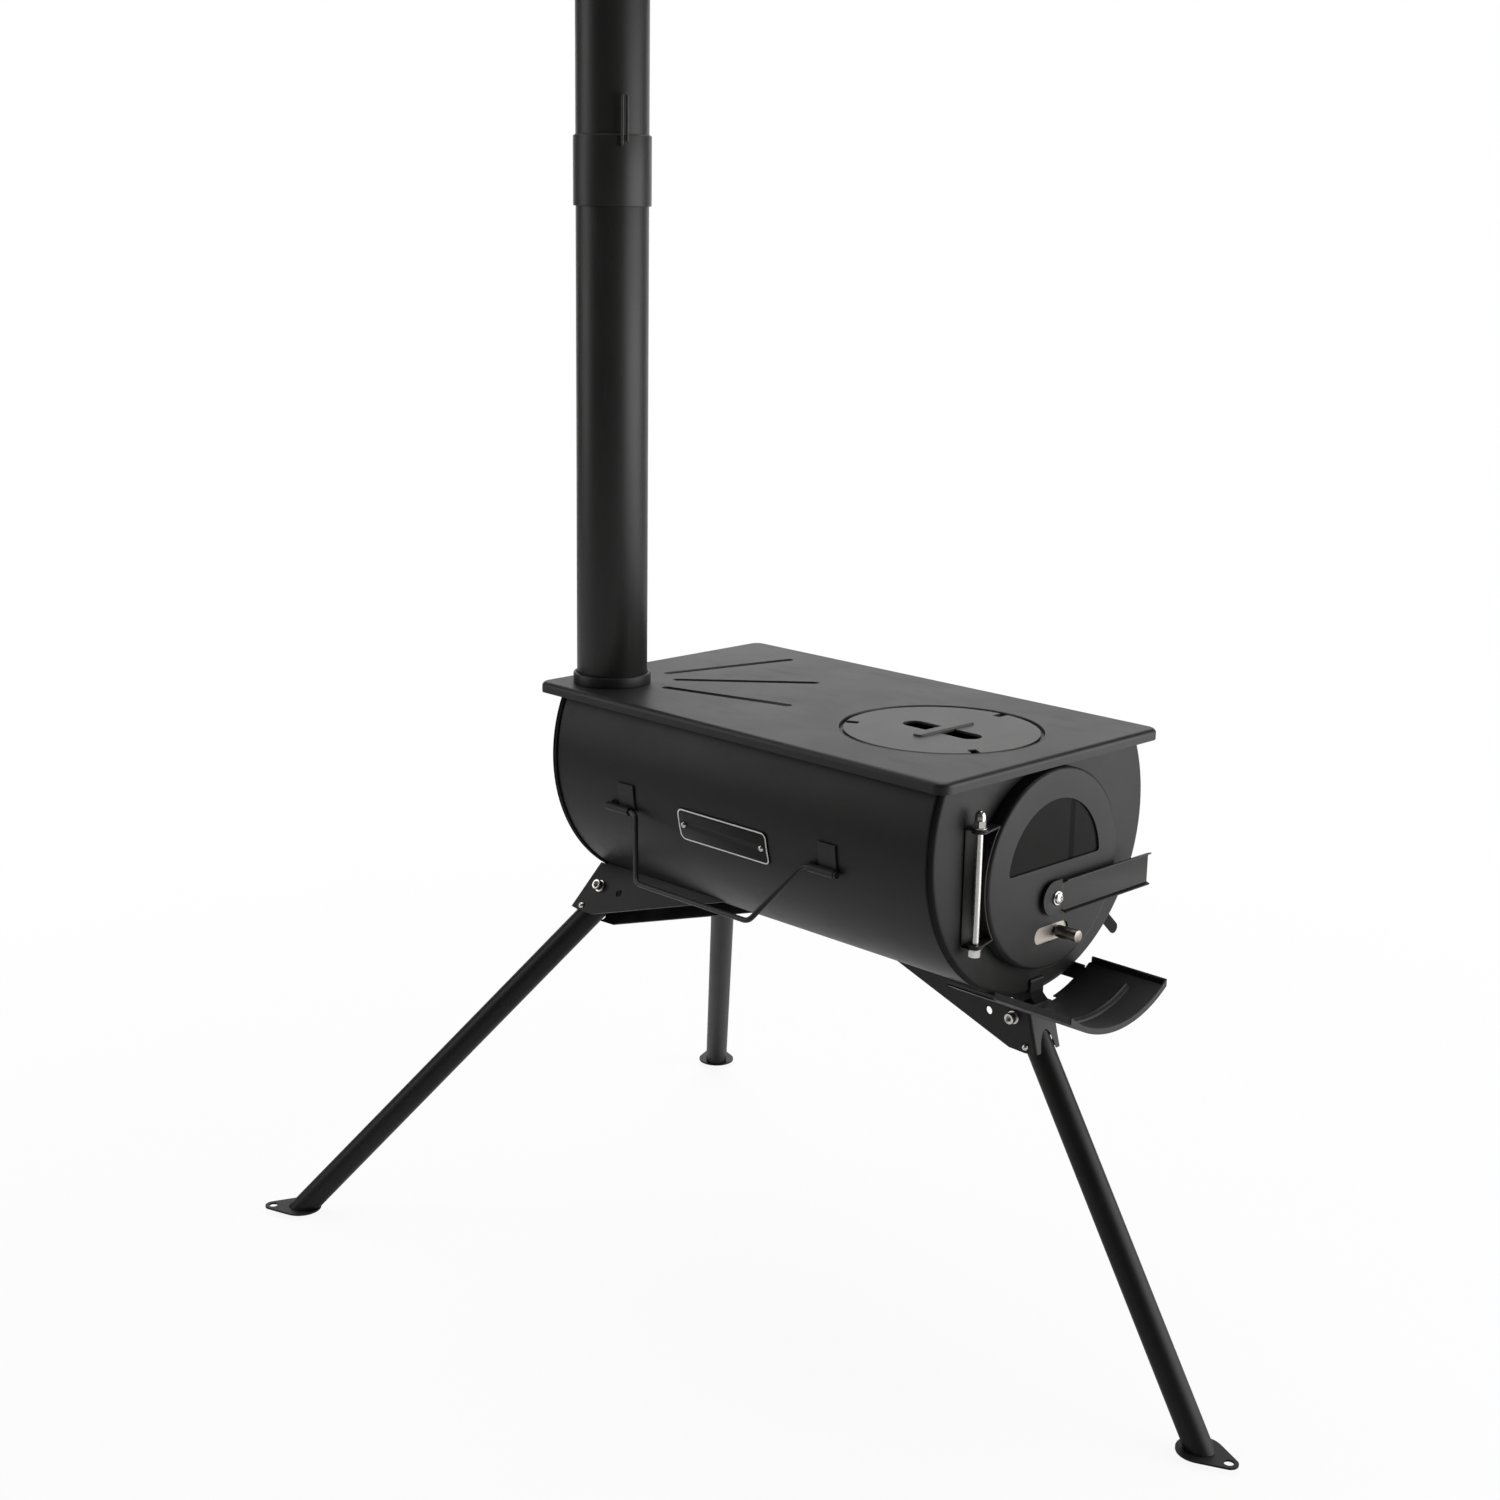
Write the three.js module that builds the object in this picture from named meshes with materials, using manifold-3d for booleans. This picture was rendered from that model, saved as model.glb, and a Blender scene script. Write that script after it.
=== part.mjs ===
import * as THREE from 'three';
import Module from 'manifold-3d';
import { mergeVertices } from 'three/addons/utils/BufferGeometryUtils.js';

const wasm = await Module();
wasm.setup();

// Driving dimensions, millimetres. Y is measured from the top plate's front edge, Z from the ground.
const gap = 0.3;              // clearance between neighbouring pieces
const barrelRadius = 145.7;
const plateOverhang = 5.3;    // of the top plate beyond the barrel at each side
const plateWidth = 2 * (barrelRadius + plateOverhang);
const plateLength = 518.3;
const plateTop = 587;
const sheet = 1.5;            // body sheet thickness
const skirtDepth = 10;
const plateCorner = 12;
const edgeFold = 4;
const barrelFlat = 71.9;      // from the barrel's axis up to the plate
const barrelAxisZ = plateTop - barrelFlat;
const barrelBottom = barrelAxisZ - barrelRadius;
const frontFaceY = 13;
const rearFaceY = plateLength - 15.8;
const rimRoll = 1.8;
const rimDepth = 8;
const doorRadius = 90.5;
const doorZ = plateTop - skirtDepth - 1.5 - doorRadius;
const doorFaceY = -2;
const doorBackY = 12.4;
const openingRadius = doorRadius - 11.5;
const ringWall = 2.5;
const ringProud = 8;
const windowRadius = doorRadius - 27;
const glassThick = 4;
const leverReach = 133;
const leverHalf = 14.4;
const leverEnd = 16;
const ventZ = doorZ - doorRadius + 32.5;
const latchZ = ventZ + 33;
const glassBase = latchZ + 25;
const windowBase = glassBase + 4.5;
const ventHalf = 23.6;
const ventHeight = 16;
const knobX = 9;
const knobRadius = 5.6;
const knobLength = 22;
const hingeX = -doorRadius - 9.5;
const hingeY = 2;
const rodRadius = 3;
const strapTop = doorZ + 52.5;
const strapBottom = doorZ - 47;
const lidX = -3;
const lidY = 129;
const lidRadius = 88.5;
const lidHoleRadius = lidRadius + 3.5;
const lidThick = 3;
const flueX = -96.5;
const flueY = plateLength - 48.3;
const flueRadius = 34;
const flueWall = 1;
const collarHeight = 10;
const collarWall = 3.2;
const sleeveBottom = 1036;
const sleeveTop = 1099;
const sleeveWall = 2;
const flueTop = 1536;
const damperZ = sleeveTop - 9;
const damperWireRadius = 1.3;
const damperAngle = 242;      // spindle direction in plan, degrees from +X
const trayRadius = 115;
const trayDrop = 4.819;       // clear of the rim over the tray's arms
const trayHalf = 69;
const trayRearY = frontFaceY - 5.5;
const trayFrontY = trayRearY - 85.5;
const traySheet = 1.2;
const trayLip = 4;
const armLip = 2.2;
const armInner = 50;
const armOuter = 62;
const armRearY = trayRearY + 54.5;
const chord = (r, x) => Math.sqrt(r * r - x * x);
const trayAxisZ = barrelAxisZ - chord(barrelRadius + rimRoll, armOuter) + chord(trayRadius, armOuter) - trayDrop;
const hookWidth = 18;
const hookZ = barrelBottom + 11.6;
const legRadius = 12.5;
const legWall = 1.5;
const legOverhang = 10;
const bracketHalf = 17.5;
const bracketSheet = 2;
const boltRadius = 3;
const buttonReach = 28.2;
const footPlateZ = 4;
const footThick = 2;
const footTip = 38;
const footRadius = 21;
const rad = THREE.MathUtils.degToRad;
const frontPivot = [0, frontFaceY + 8.5, trayAxisZ - trayRadius - 11.8];
const frontLean = 31.6;
const frontLegLength = (frontPivot[2] - 4.96) / Math.cos(rad(frontLean));
const rearPivotReach = barrelRadius + 25.79;
const rearPivotAngle = 27.58;
const rearPivot = [rearPivotReach * Math.sin(rad(rearPivotAngle)), rearFaceY - 12.2,
  barrelAxisZ - rearPivotReach * Math.cos(rad(rearPivotAngle))];
const rearTilt = 31.8;
const rearLean = 29.5;
const rearLegLength = (rearPivot[2] - 1.65) / Math.cos(rad(rearLean)) / Math.cos(rad(rearTilt));
const wireRadius = 2.5;
const sleeveRadius = 4;
const sleeveLength = 30;
const wireAngle = 13;         // below horizontal round the barrel
const wireDepth = 62;
const wireSwing = 30;         // outward from hanging straight
const wireCentreY = (frontFaceY + rearFaceY) / 2 + 12.25;
const wireTopHalf = 110;
const sleeveStep = 8;          // from the wire's bend to its sleeve
const wireLowHalf = 74;
const clipWidth = 21;
const nameWidth = 116;
const nameHeight = 32.5;
const nameY = wireCentreY - 5;
const nameAngle = 12.35;
const nameThick = 1;
const tabAngle = 43;
const tabReach = 33;
const tabWidth = 10.5;
const tabY = frontFaceY + 9.2;

const V2 = (x, y) => new THREE.Vector2(x, y);
const V3 = (x, y, z) => new THREE.Vector3(x, y, z);

// Closed solids and their combination.
function solid(geometry) {
  const g = geometry.clone();
  g.deleteAttribute('normal');
  g.deleteAttribute('uv');
  const m = mergeVertices(g, 1e-4);
  return new wasm.Manifold(new wasm.Mesh({
    numProp: 3,
    vertProperties: Float32Array.from(m.attributes.position.array),
    triVerts: Uint32Array.from(m.index.array),
  }));
}
function back(m) {
  const mesh = m.getMesh();
  const g = new THREE.BufferGeometry();
  g.setAttribute('position', new THREE.BufferAttribute(Float32Array.from(mesh.vertProperties), 3));
  g.setIndex(new THREE.BufferAttribute(Uint32Array.from(mesh.triVerts), 1));
  return g;
}
const fold = (how) => (first, ...rest) => back(rest.reduce((a, b) => a[how](solid(b)), solid(first)));
const join = fold('add');
const cut = fold('subtract');
const meet = fold('intersect');

const box = (x0, x1, y0, y1, z0, z1) => new THREE.BoxGeometry(x1 - x0, y1 - y0, z1 - z0)
  .translate((x0 + x1) / 2, (y0 + y1) / 2, (z0 + z1) / 2);
const cylY = (r, y0, y1, x, z, n = 32) => new THREE.CylinderGeometry(r, r, y1 - y0, n)
  .translate(x, (y0 + y1) / 2, z);
const cylZ = (r, z0, z1, x, y, n = 32) => new THREE.CylinderGeometry(r, r, z1 - z0, n)
  .rotateX(Math.PI / 2).translate(x, y, (z0 + z1) / 2);
const cylX = (r, x0, x1, y, z, n = 20) => new THREE.CylinderGeometry(r, r, x1 - x0, n)
  .rotateZ(-Math.PI / 2).translate((x0 + x1) / 2, y, z);
const latheY = (pts, x, z, n = 96) => new THREE.LatheGeometry(pts.map((p) => V2(...p)), n)
  .translate(x, 0, z);
const latheZ = (pts, x, y, n = 36) => new THREE.LatheGeometry(pts.map((p) => V2(...p)), n)
  .rotateX(Math.PI / 2).translate(x, y, 0);
const raise = (shape, depth) => new THREE.ExtrudeGeometry(shape, { depth, bevelEnabled: false, curveSegments: 6 });
const plateXY = (shape, z0, z1) => raise(shape, z1 - z0).translate(0, 0, z0);
const plateXZ = (shape, y0, y1) => raise(shape, y1 - y0).rotateX(Math.PI / 2).translate(0, y1, 0);
const plateYZ = (shape, x0, x1) => raise(shape, x1 - x0).translate(0, 0, x0)
  .applyMatrix4(new THREE.Matrix4().makeBasis(V3(0, 1, 0), V3(0, 0, 1), V3(1, 0, 0)));
const outline = (pts) => new THREE.Shape(pts.map((p) => V2(...p)));
function roundedBox(w, h, r, cx = 0, cy = 0) {
  const s = new THREE.Shape();
  [[1, 1, 0], [-1, 1, 90], [-1, -1, 180], [1, -1, 270]].forEach(([sx, sy, a]) => {
    s.absarc(cx + sx * (w / 2 - r), cy + sy * (h / 2 - r), r, rad(a), rad(a + 90), false);
  });
  return s;
}
function stadium(x0, y0, x1, y1, r) {
  const a = Math.atan2(y1 - y0, x1 - x0);
  const s = new THREE.Shape();
  s.absarc(x1, y1, r, a - Math.PI / 2, a + Math.PI / 2, false);
  s.absarc(x0, y0, r, a + Math.PI / 2, a + Math.PI * 1.5, false);
  return s;
}
// Pan-shaped solid from one outline inset by a given amount at each height.
function stack(w, h, r, cx, cy, levels) {
  const loops = levels.map(([z, inset]) => {
    const pts = roundedBox(w - 2 * inset, h - 2 * inset, r - inset, cx, cy).getPoints(5);
    pts.pop();
    return pts.map((p) => [p.x, p.y, z]);
  });
  const n = loops[0].length;
  const pos = loops.flat(2);
  const idx = [];
  for (let k = 0; k < loops.length - 1; k++) {
    for (let i = 0; i < n; i++) {
      const a = k * n + i, b = k * n + ((i + 1) % n);
      idx.push(a, b, b + n, a, b + n, a + n);
    }
  }
  const top = (loops.length - 1) * n;
  for (let i = 1; i < n - 1; i++) idx.push(0, i + 1, i, top, top + i, top + i + 1);
  const g = new THREE.BufferGeometry();
  g.setAttribute('position', new THREE.Float32BufferAttribute(pos, 3));
  g.setIndex(idx);
  return g;
}
// Round wire along straight runs with eased corners.
function wire(points, r, ease, sides = 4) {
  const path = new THREE.CurvePath();
  let from = points[0];
  for (let i = 1; i < points.length - 1; i++) {
    const a = points[i].clone().add(points[i - 1].clone().sub(points[i]).setLength(ease));
    const b = points[i].clone().add(points[i + 1].clone().sub(points[i]).setLength(ease));
    path.add(new THREE.LineCurve3(from, a));
    path.add(new THREE.QuadraticBezierCurve3(a, points[i], b));
    from = b;
  }
  path.add(new THREE.LineCurve3(from, points[points.length - 1]));
  const section = new THREE.Shape();
  section.absarc(0, 0, r, 0, Math.PI * 2, false);
  const run = new THREE.CatmullRomCurve3(path.getSpacedPoints(40), false, 'chordal');
  return new THREE.ExtrudeGeometry(section, {
    steps: 40, curveSegments: sides, bevelEnabled: false, extrudePath: run,
  });
}
const hexagon = (r) => outline([0, 1, 2, 3, 4, 5].map((k) => [r * Math.cos(rad(60 * k)), r * Math.sin(rad(60 * k))]));

// Materials.
const paint = (name, color, roughness, metalness = 0.4) => {
  const m = new THREE.MeshStandardMaterial({ color, roughness, metalness });
  m.name = name;
  return m;
};
const black = paint('black_stove_paint', 0x2b2b2b, 0.55);
const steel = paint('stainless_steel', 0xb9b6b0, 0.3, 1);
const brushed = paint('bare_steel', 0xa39c92, 0.45, 1);
const glassLook = paint('ceramic_glass', 0x33302e, 0.08, 0);
glassLook.transparent = true;
glassLook.opacity = 0.55;
const label = paint('black_nameplate', 0x161616, 0.4);

const part = new THREE.Group();
part.name = 'tent_wood_stove';
function add(name, geometry, material = black) {
  const g = geometry.index ? geometry.toNonIndexed() : geometry.clone();
  g.deleteAttribute('uv');
  g.computeVertexNormals();
  const mesh = new THREE.Mesh(g, material);
  mesh.name = name;
  part.add(mesh);
}

// Firebox: barrel, end plates and top plate.
const cutZ = plateTop - sheet - gap;
const above = box(-barrelRadius - 50, barrelRadius + 50, -50, plateLength + 50, cutZ, cutZ + barrelRadius);
const innerY0 = frontFaceY + sheet + gap;
const innerY1 = rearFaceY - sheet - gap;
const barrelIn = barrelRadius - sheet;
add('firebox_barrel', cut(latheY([[barrelIn, innerY0], [barrelRadius, innerY0], [barrelRadius, innerY1],
  [barrelIn, innerY1], [barrelIn, innerY0]], 0, barrelAxisZ, 80), above));

const rimOut = barrelRadius + rimRoll;
const rimIn = barrelRadius + gap;
function endPlate(face, dir) {
  const y = (d) => face + dir * d;
  const profile = [[0, y(0)], [barrelRadius - 1.2, y(0)], [rimOut - 0.9, y(0.9)], [rimOut, y(3)], [rimOut, y(4)],
    [rimOut - 0.7, y(4.7)], [rimOut, y(5.4)], [rimOut, y(rimDepth)], [rimIn, y(rimDepth)], [rimIn, y(sheet)],
    [0, y(sheet)]];
  return latheY(dir > 0 ? profile : profile.reverse(), 0, barrelAxisZ, 80);
}
const ringOut = openingRadius + ringWall;
const doorRing = latheY([[openingRadius, frontFaceY - ringProud], [ringOut, frontFaceY - ringProud],
  [ringOut, frontFaceY + sheet], [openingRadius, frontFaceY + sheet], [openingRadius, frontFaceY - ringProud]],
0, doorZ, 56);
const hookSlot = box(-hookWidth / 2 - gap, hookWidth / 2 + gap, 5, 30, hookZ - 0.75 - gap, hookZ + 0.75 + gap);
add('front_plate', join(cut(endPlate(frontFaceY, 1), above, hookSlot,
  cylY(openingRadius + 1, 0, 30, 0, doorZ, 56)), doorRing));
add('rear_plate', cut(endPlate(rearFaceY, -1), above));

const midY = plateLength / 2;
const bottomZ = plateTop - skirtDepth;
const outerPan = stack(plateWidth, plateLength, plateCorner, 0, midY, [[bottomZ, 0], [plateTop - edgeFold, 0],
  [plateTop - edgeFold * 0.5, edgeFold * 0.134], [plateTop - edgeFold * 0.134, edgeFold * 0.5], [plateTop, edgeFold]]);
const innerPan = stack(plateWidth, plateLength, plateCorner, 0, midY, [[bottomZ - 5, sheet],
  [plateTop - edgeFold - 0.6, sheet], [plateTop - sheet, edgeFold + 0.2]]);
const grooves = [[62.1, -7.4, 208.7, -42.3], [49.1, -33.4, 148.1, -137.7], [19.2, -51.2, 56.7, -189.3]]
  .map(([x0, y0, x1, y1]) => plateXY(stadium(flueX + x0, flueY + y0, flueX + x1, flueY + y1, 4.5),
    plateTop - 0.7, plateTop + 5));
const ledgeZ = plateTop - lidThick - gap;
const lidWell = latheZ([[lidHoleRadius - 10, ledgeZ - sheet], [lidHoleRadius + sheet, ledgeZ - sheet],
  [lidHoleRadius + sheet, plateTop - 0.6], [lidHoleRadius, plateTop - 0.6], [lidHoleRadius, ledgeZ],
  [lidHoleRadius - 10, ledgeZ], [lidHoleRadius - 10, ledgeZ - sheet]], lidX, lidY);
const spigot = flueRadius - 4;
add('top_plate', join(cut(outerPan, innerPan, ...grooves,
  cylZ(lidHoleRadius, plateTop - 8, plateTop + 8, lidX, lidY, 64),
  cylZ(spigot + gap, plateTop - 8, plateTop + 8, flueX, flueY)), lidWell));

// Cook lid with lifting slot, bridge bar and three rim notches.
const lidTop = plateTop + 0.4;
const slot = plateXY(stadium(lidX - 2, lidY - 34, lidX - 2, lidY + 30, 11), lidTop - 9, lidTop + 5);
const notches = [0, 120, 240].map((a) => box(lidRadius - 12, lidRadius + 5, -4, 4, lidTop - 9, lidTop + 5)
  .rotateZ(rad(a)).translate(lidX, lidY, 0));
const bridge = plateXY(stadium(lidX - 33, lidY - 2.5, lidX + 33, lidY - 2.5, 5.6), lidTop - lidThick, lidTop + 1.2);
add('cook_lid', join(cut(cylZ(lidRadius, lidTop - lidThick, lidTop, lidX, lidY, 64), slot, ...notches), bridge));

// Flue: collar, two lengths, damper.
const collarZ = plateTop + gap;
const socket = flueRadius + gap;
add('flue_collar', latheZ([[spigot - sheet, plateTop - sheet + gap], [spigot, plateTop - sheet + gap],
  [spigot, collarZ], [socket + collarWall, collarZ], [socket + collarWall, collarZ + collarHeight - 1],
  [socket + collarWall - 1, collarZ + collarHeight], [socket, collarZ + collarHeight], [socket, collarZ + sheet],
  [spigot - sheet, collarZ + sheet], [spigot - sheet, plateTop - sheet + gap]], flueX, flueY));
const flueIn = flueRadius - flueWall;
const lowerTop = damperZ - 10;
add('lower_flue', latheZ([[flueIn, collarZ + sheet + gap], [flueRadius, collarZ + sheet + gap],
  [flueRadius, lowerTop], [flueIn, lowerTop], [flueIn, collarZ + sheet + gap]], flueX, flueY));
const sleeveOut = socket + sleeveWall;
const spindle = (r, a, b) => cylX(r, a, b, 0, damperZ, 16).rotateZ(rad(damperAngle)).translate(flueX, flueY, 0);
add('upper_flue', cut(latheZ([[socket, sleeveBottom], [sleeveOut, sleeveBottom], [sleeveOut, sleeveTop],
  [flueRadius, sleeveTop + 1.5], [flueRadius, flueTop], [flueIn, flueTop], [flueIn, lowerTop + gap],
  [socket, lowerTop + gap], [socket, sleeveBottom]], flueX, flueY), spindle(damperWireRadius + gap, -60, 60)));
const discRadius = flueIn - 1.5;
const disc = join(cylY(discRadius, -0.75, 0.75, 0, damperZ, 40),
  cylX(3.2, -discRadius + 4, discRadius - 4, 0, damperZ, 20));
add('damper_disc', cut(disc.rotateZ(rad(damperAngle)).translate(flueX, flueY, 0),
  spindle(damperWireRadius + gap, -60, 60)));
const loopX = sleeveOut + 3;
add('damper_wire', wire([V3(-sleeveOut - 4, 0, damperZ), V3(loopX, 0, damperZ), V3(loopX, 0, damperZ + 44),
  V3(loopX, 4.6, damperZ + 44), V3(loopX, 4.6, damperZ + 3)], damperWireRadius, 2.2, 3)
  .rotateZ(rad(damperAngle)).translate(flueX, flueY, 0), steel);

// Door with window, glass and retainer bar.
const inFace = doorFaceY + sheet;
const half = new THREE.Shape();
const baseAngle = Math.asin((windowBase + 3 - doorZ) / (windowRadius - 3));
half.absarc(Math.cos(baseAngle) * (windowRadius - 3), windowBase + 3, 3, -Math.PI / 2, baseAngle, false);
half.absarc(0, doorZ, windowRadius, baseAngle, Math.PI - baseAngle, false);
half.absarc(-Math.cos(baseAngle) * (windowRadius - 3), windowBase + 3, 3, Math.PI - baseAngle, Math.PI * 1.5, false);
const ventSlot = plateXZ(stadium(-ventHalf + ventHeight / 2, ventZ, ventHalf - ventHeight / 2, ventZ, ventHeight / 2),
  doorFaceY - 5, inFace + 5);
add('door_shell', cut(latheY([[0, doorFaceY], [doorRadius - 2.6, doorFaceY], [doorRadius - 0.8, doorFaceY + 0.8],
  [doorRadius, doorFaceY + 2.6], [doorRadius, doorBackY], [doorRadius - sheet, doorBackY],
  [doorRadius - sheet, inFace + 1.4], [doorRadius - sheet - 1.4, inFace], [0, inFace]], 0, doorZ, 64),
plateXZ(half, doorFaceY - 5, inFace + 5), ventSlot, cylY(boltRadius + gap, -9, 9, 0, latchZ, 18)));
const glassY = inFace + gap;
const pane = new THREE.Shape();
const paneRadius = windowRadius + 4.5;
const paneAngle = Math.asin((glassBase - doorZ) / paneRadius);
pane.absarc(0, doorZ, paneRadius, paneAngle, Math.PI - paneAngle, false);
add('door_glass', plateXZ(pane, glassY, glassY + glassThick), glassLook);
const clampY = glassY + glassThick + gap;
const barX = 24.5;
const clampHalf = openingRadius - 21;
const barTop = doorZ + windowRadius - 3.5;
add('glass_clamp', plateXZ(outline([[-clampHalf, glassBase - 6], [clampHalf, glassBase - 6],
  [clampHalf, glassBase + 3], [barX + 2.6, glassBase + 3], [barX + 2.6, barTop], [barX - 2.6, barTop],
  [barX - 2.6, glassBase + 3], [-clampHalf, glassBase + 3]]), clampY, clampY + sheet));

// Door hinge: strap on the door, bracket on the front plate, rod and nuts.
const strapIn = doorRadius + gap;
const strapOut = strapIn + sheet;
function arcShape(r0, r1, a0, a1, cx, cy) {
  const s = new THREE.Shape();
  s.absarc(cx, cy, r1, rad(a0), rad(a1), false);
  s.absarc(cx, cy, r0, rad(a1), rad(a0), true);
  return s;
}
const strapA0 = 180 - THREE.MathUtils.radToDeg(Math.asin((strapTop + 0.7 - doorZ) / strapOut));
const strapA1 = 180 + THREE.MathUtils.radToDeg(Math.asin((doorZ - strapBottom + 0.7) / strapOut));
function ear(shape, z) {
  return cut(plateXY(shape, z - 0.75, z + 0.75), cylZ(rodRadius + gap, z - 5, z + 5, hingeX, hingeY, 32));
}
const strapEar = (z) => {
  const wall = -Math.sqrt(strapIn ** 2 - (Math.abs(z - doorZ) - 0.75) ** 2) - 0.1;
  const s = new THREE.Shape();
  s.absarc(hingeX, hingeY, 7, rad(90), rad(270), false);
  s.lineTo(wall, 0.5);
  s.lineTo(wall, 10.5);
  return ear(s, z);
};
add('hinge_strap', join(plateXZ(arcShape(strapIn, strapOut, strapA0, strapA1, 0, doorZ), 0.5, 10.5),
  strapEar(strapTop), strapEar(strapBottom)));
const baseTop = strapTop + 1.5 + gap;
const baseBottom = strapBottom - 1.5 - gap;
const baseEar = (z) => {
  const s = new THREE.Shape();
  s.absarc(hingeX, hingeY, 7, rad(180), rad(360), false);
  s.lineTo(hingeX + 7, frontFaceY - gap);
  s.lineTo(hingeX - 7, frontFaceY - gap);
  return ear(s, z);
};
add('hinge_bracket', join(box(hingeX - 7, hingeX + 7, frontFaceY - gap - sheet, frontFaceY - gap,
  baseBottom - 0.75, baseTop + 0.75), baseEar(baseTop), baseEar(baseBottom)));
const nutZ = baseTop + 0.75 + gap;
const lowNut = baseBottom - 0.75 - gap;
add('hinge_rod', cylZ(rodRadius, lowNut - 8, nutZ + 9, hingeX, hingeY, 18), steel);
const bore = cylZ(rodRadius + gap, lowNut - 9, nutZ + 9 + gap, hingeX, hingeY, 18);
const hexNut = (r, z0, z1) => plateXY(hexagon(r), z0, z1).translate(hingeX, hingeY, 0);
add('hinge_cap_nut', cut(join(cylZ(6, nutZ, nutZ + 1, hingeX, hingeY, 18), hexNut(5.6, nutZ + 0.9, nutZ + 7),
  latheZ([[0, nutZ + 6.5], [4.6, nutZ + 6.5], [4.6, nutZ + 11], [3.6, nutZ + 13.8], [1.8, nutZ + 15.4], [0, nutZ + 15.8]],
    hingeX, hingeY, 18)), bore), steel);
add('hinge_lower_nut', cut(join(cylZ(6, lowNut - 1, lowNut, hingeX, hingeY, 18),
  hexNut(5.6, lowNut - 7.2, lowNut - 0.9)), bore), steel);

// Latch: lever with turned lips, shouldered bolt and cam behind the door.
const leverBack = doorFaceY - 3;
const leverFace = leverBack - sheet;
const tongue = new THREE.Shape();
tongue.absarc(-3, latchZ, leverEnd, rad(90), rad(270), false);
[[7, -leverEnd], [7, -leverHalf + 3], [10, -leverHalf + 3], [10, leverHalf - 3], [7, leverHalf - 3], [7, leverEnd]]
  .forEach(([x, z]) => tongue.lineTo(x, latchZ + z));
const lip = 3.5, flare = 0.9;
const channel = [[leverBack, -leverHalf + 0.5], [leverFace - lip, -leverHalf - flare],
  [leverFace - lip, -leverHalf - flare + sheet], [leverFace, -leverHalf + sheet + 0.3],
  [leverFace, leverHalf - sheet - 0.3], [leverFace - lip, leverHalf + flare - sheet],
  [leverFace - lip, leverHalf + flare], [leverBack, leverHalf - 0.5]];
add('latch_lever', cut(join(plateXZ(tongue, leverFace, leverBack),
  plateYZ(outline(channel.map(([y, z]) => [y, latchZ + z])), 9, leverReach)),
cylY(boltRadius + gap, -20, 0, 0, latchZ, 18)));
const camY = clampY + sheet + 0.6;
add('latch_bolt', latheY([[0, leverFace - gap - 3.6], [2.6, leverFace - gap - 3.3], [4.6, leverFace - gap - 2.1],
  [5, leverFace - gap - 1.2], [6.3, leverFace - gap - 1.2], [6.3, leverFace - gap], [boltRadius, leverFace - gap],
  [boltRadius, leverBack + gap], [6, leverBack + gap], [6, doorFaceY - gap], [boltRadius, doorFaceY - gap],
  [boltRadius, inFace + gap], [5, inFace + gap], [5, camY - gap], [boltRadius, camY - gap], [boltRadius, camY + 2 + gap],
  [5.2, camY + 2 + gap], [5.2, camY + 6], [0, camY + 6]], 0, latchZ, 22), steel);
add('latch_cam', cut(plateXZ(stadium(0, latchZ, 36, latchZ, 7), camY, camY + 2),
  cylY(boltRadius + gap, 0, 20, 0, latchZ, 18)), brushed);

// Air vent slider and its knob.
const slideY = inFace + gap;
add('vent_slider', plateXZ(roundedBox(2 * ventHalf + 7, ventHeight + 4, 4, 0, ventZ), slideY, slideY + 1.2), brushed);
add('vent_knob', latheY([[0, doorFaceY - 0.5 - knobLength], [knobRadius - 0.6, doorFaceY - 0.5 - knobLength],
  [knobRadius, doorFaceY + 0.1 - knobLength], [knobRadius, doorFaceY - 0.5], [boltRadius, doorFaceY - 0.5],
  [boltRadius, slideY - gap], [0, slideY - gap]], knobX, ventZ, 22), brushed);

// Tray hook and ash tray.
const trayBottom = trayAxisZ - trayRadius;
add('tray_hook', plateYZ(outline([[17, hookZ - 0.75], [17, hookZ + 0.75], [11.2, hookZ + 0.75], [10.4, hookZ],
  [10.4, trayBottom + 8.3], [4.4, trayBottom + 2.9], [5.4, trayBottom + 1.8], [11.9, trayBottom + 7.7],
  [11.9, hookZ - 0.75]]), -hookWidth / 2, hookWidth / 2));
const right = [[trayHalf, trayFrontY], [trayHalf, trayRearY - 5], [trayHalf - 2, trayRearY - 2.5],
  [armOuter, trayRearY - 2.5], [armOuter, armRearY], [armInner, armRearY], [armInner, trayRearY], [20, trayRearY],
  [20, trayRearY - 5], [11, trayRearY - 5], [11, trayRearY]];
const plan = plateXY(outline([...right, ...right.map(([x, y]) => [-x, y]).reverse()]), trayBottom - 25, trayBottom + 60);
const trayCyl = (r) => cylY(r, -100, 100, 0, trayAxisZ, 96);
const shell = (h) => cut(trayCyl(trayRadius), trayCyl(trayRadius - h));
const rim = shell(traySheet + trayLip);
const strips = (outer, y0, y1) => [[outer - 1.3, outer], [-outer, 1.3 - outer]]
  .map(([x0, x1]) => box(x0, x1, y0, y1, trayBottom - 25, trayBottom + 60));
const sides = strips(trayHalf, trayFrontY, trayRearY - 5);
const armSides = strips(armOuter, trayRearY - 2.5, armRearY);
const under = (g) => meet(g, trayCyl(trayRadius - 0.2));
const beadR = trayRadius - traySheet;
const arcBead = under(meet(new THREE.TorusGeometry(beadR - 0.3, 3, 10, 96).rotateX(Math.PI / 2)
  .translate(0, trayFrontY + 34, trayAxisZ), box(-56, 56, -100, 50, trayBottom - 25, trayBottom + 60)));
const sideBeads = [-57, 57].map((x) => {
  const z = trayAxisZ - Math.sqrt((beadR - 0.3) ** 2 - x * x);
  return under(join(cylY(2.6, -22, 1, x, z, 16), new THREE.SphereGeometry(2.6, 16, 10).translate(x, -22, z)));
});
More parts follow.
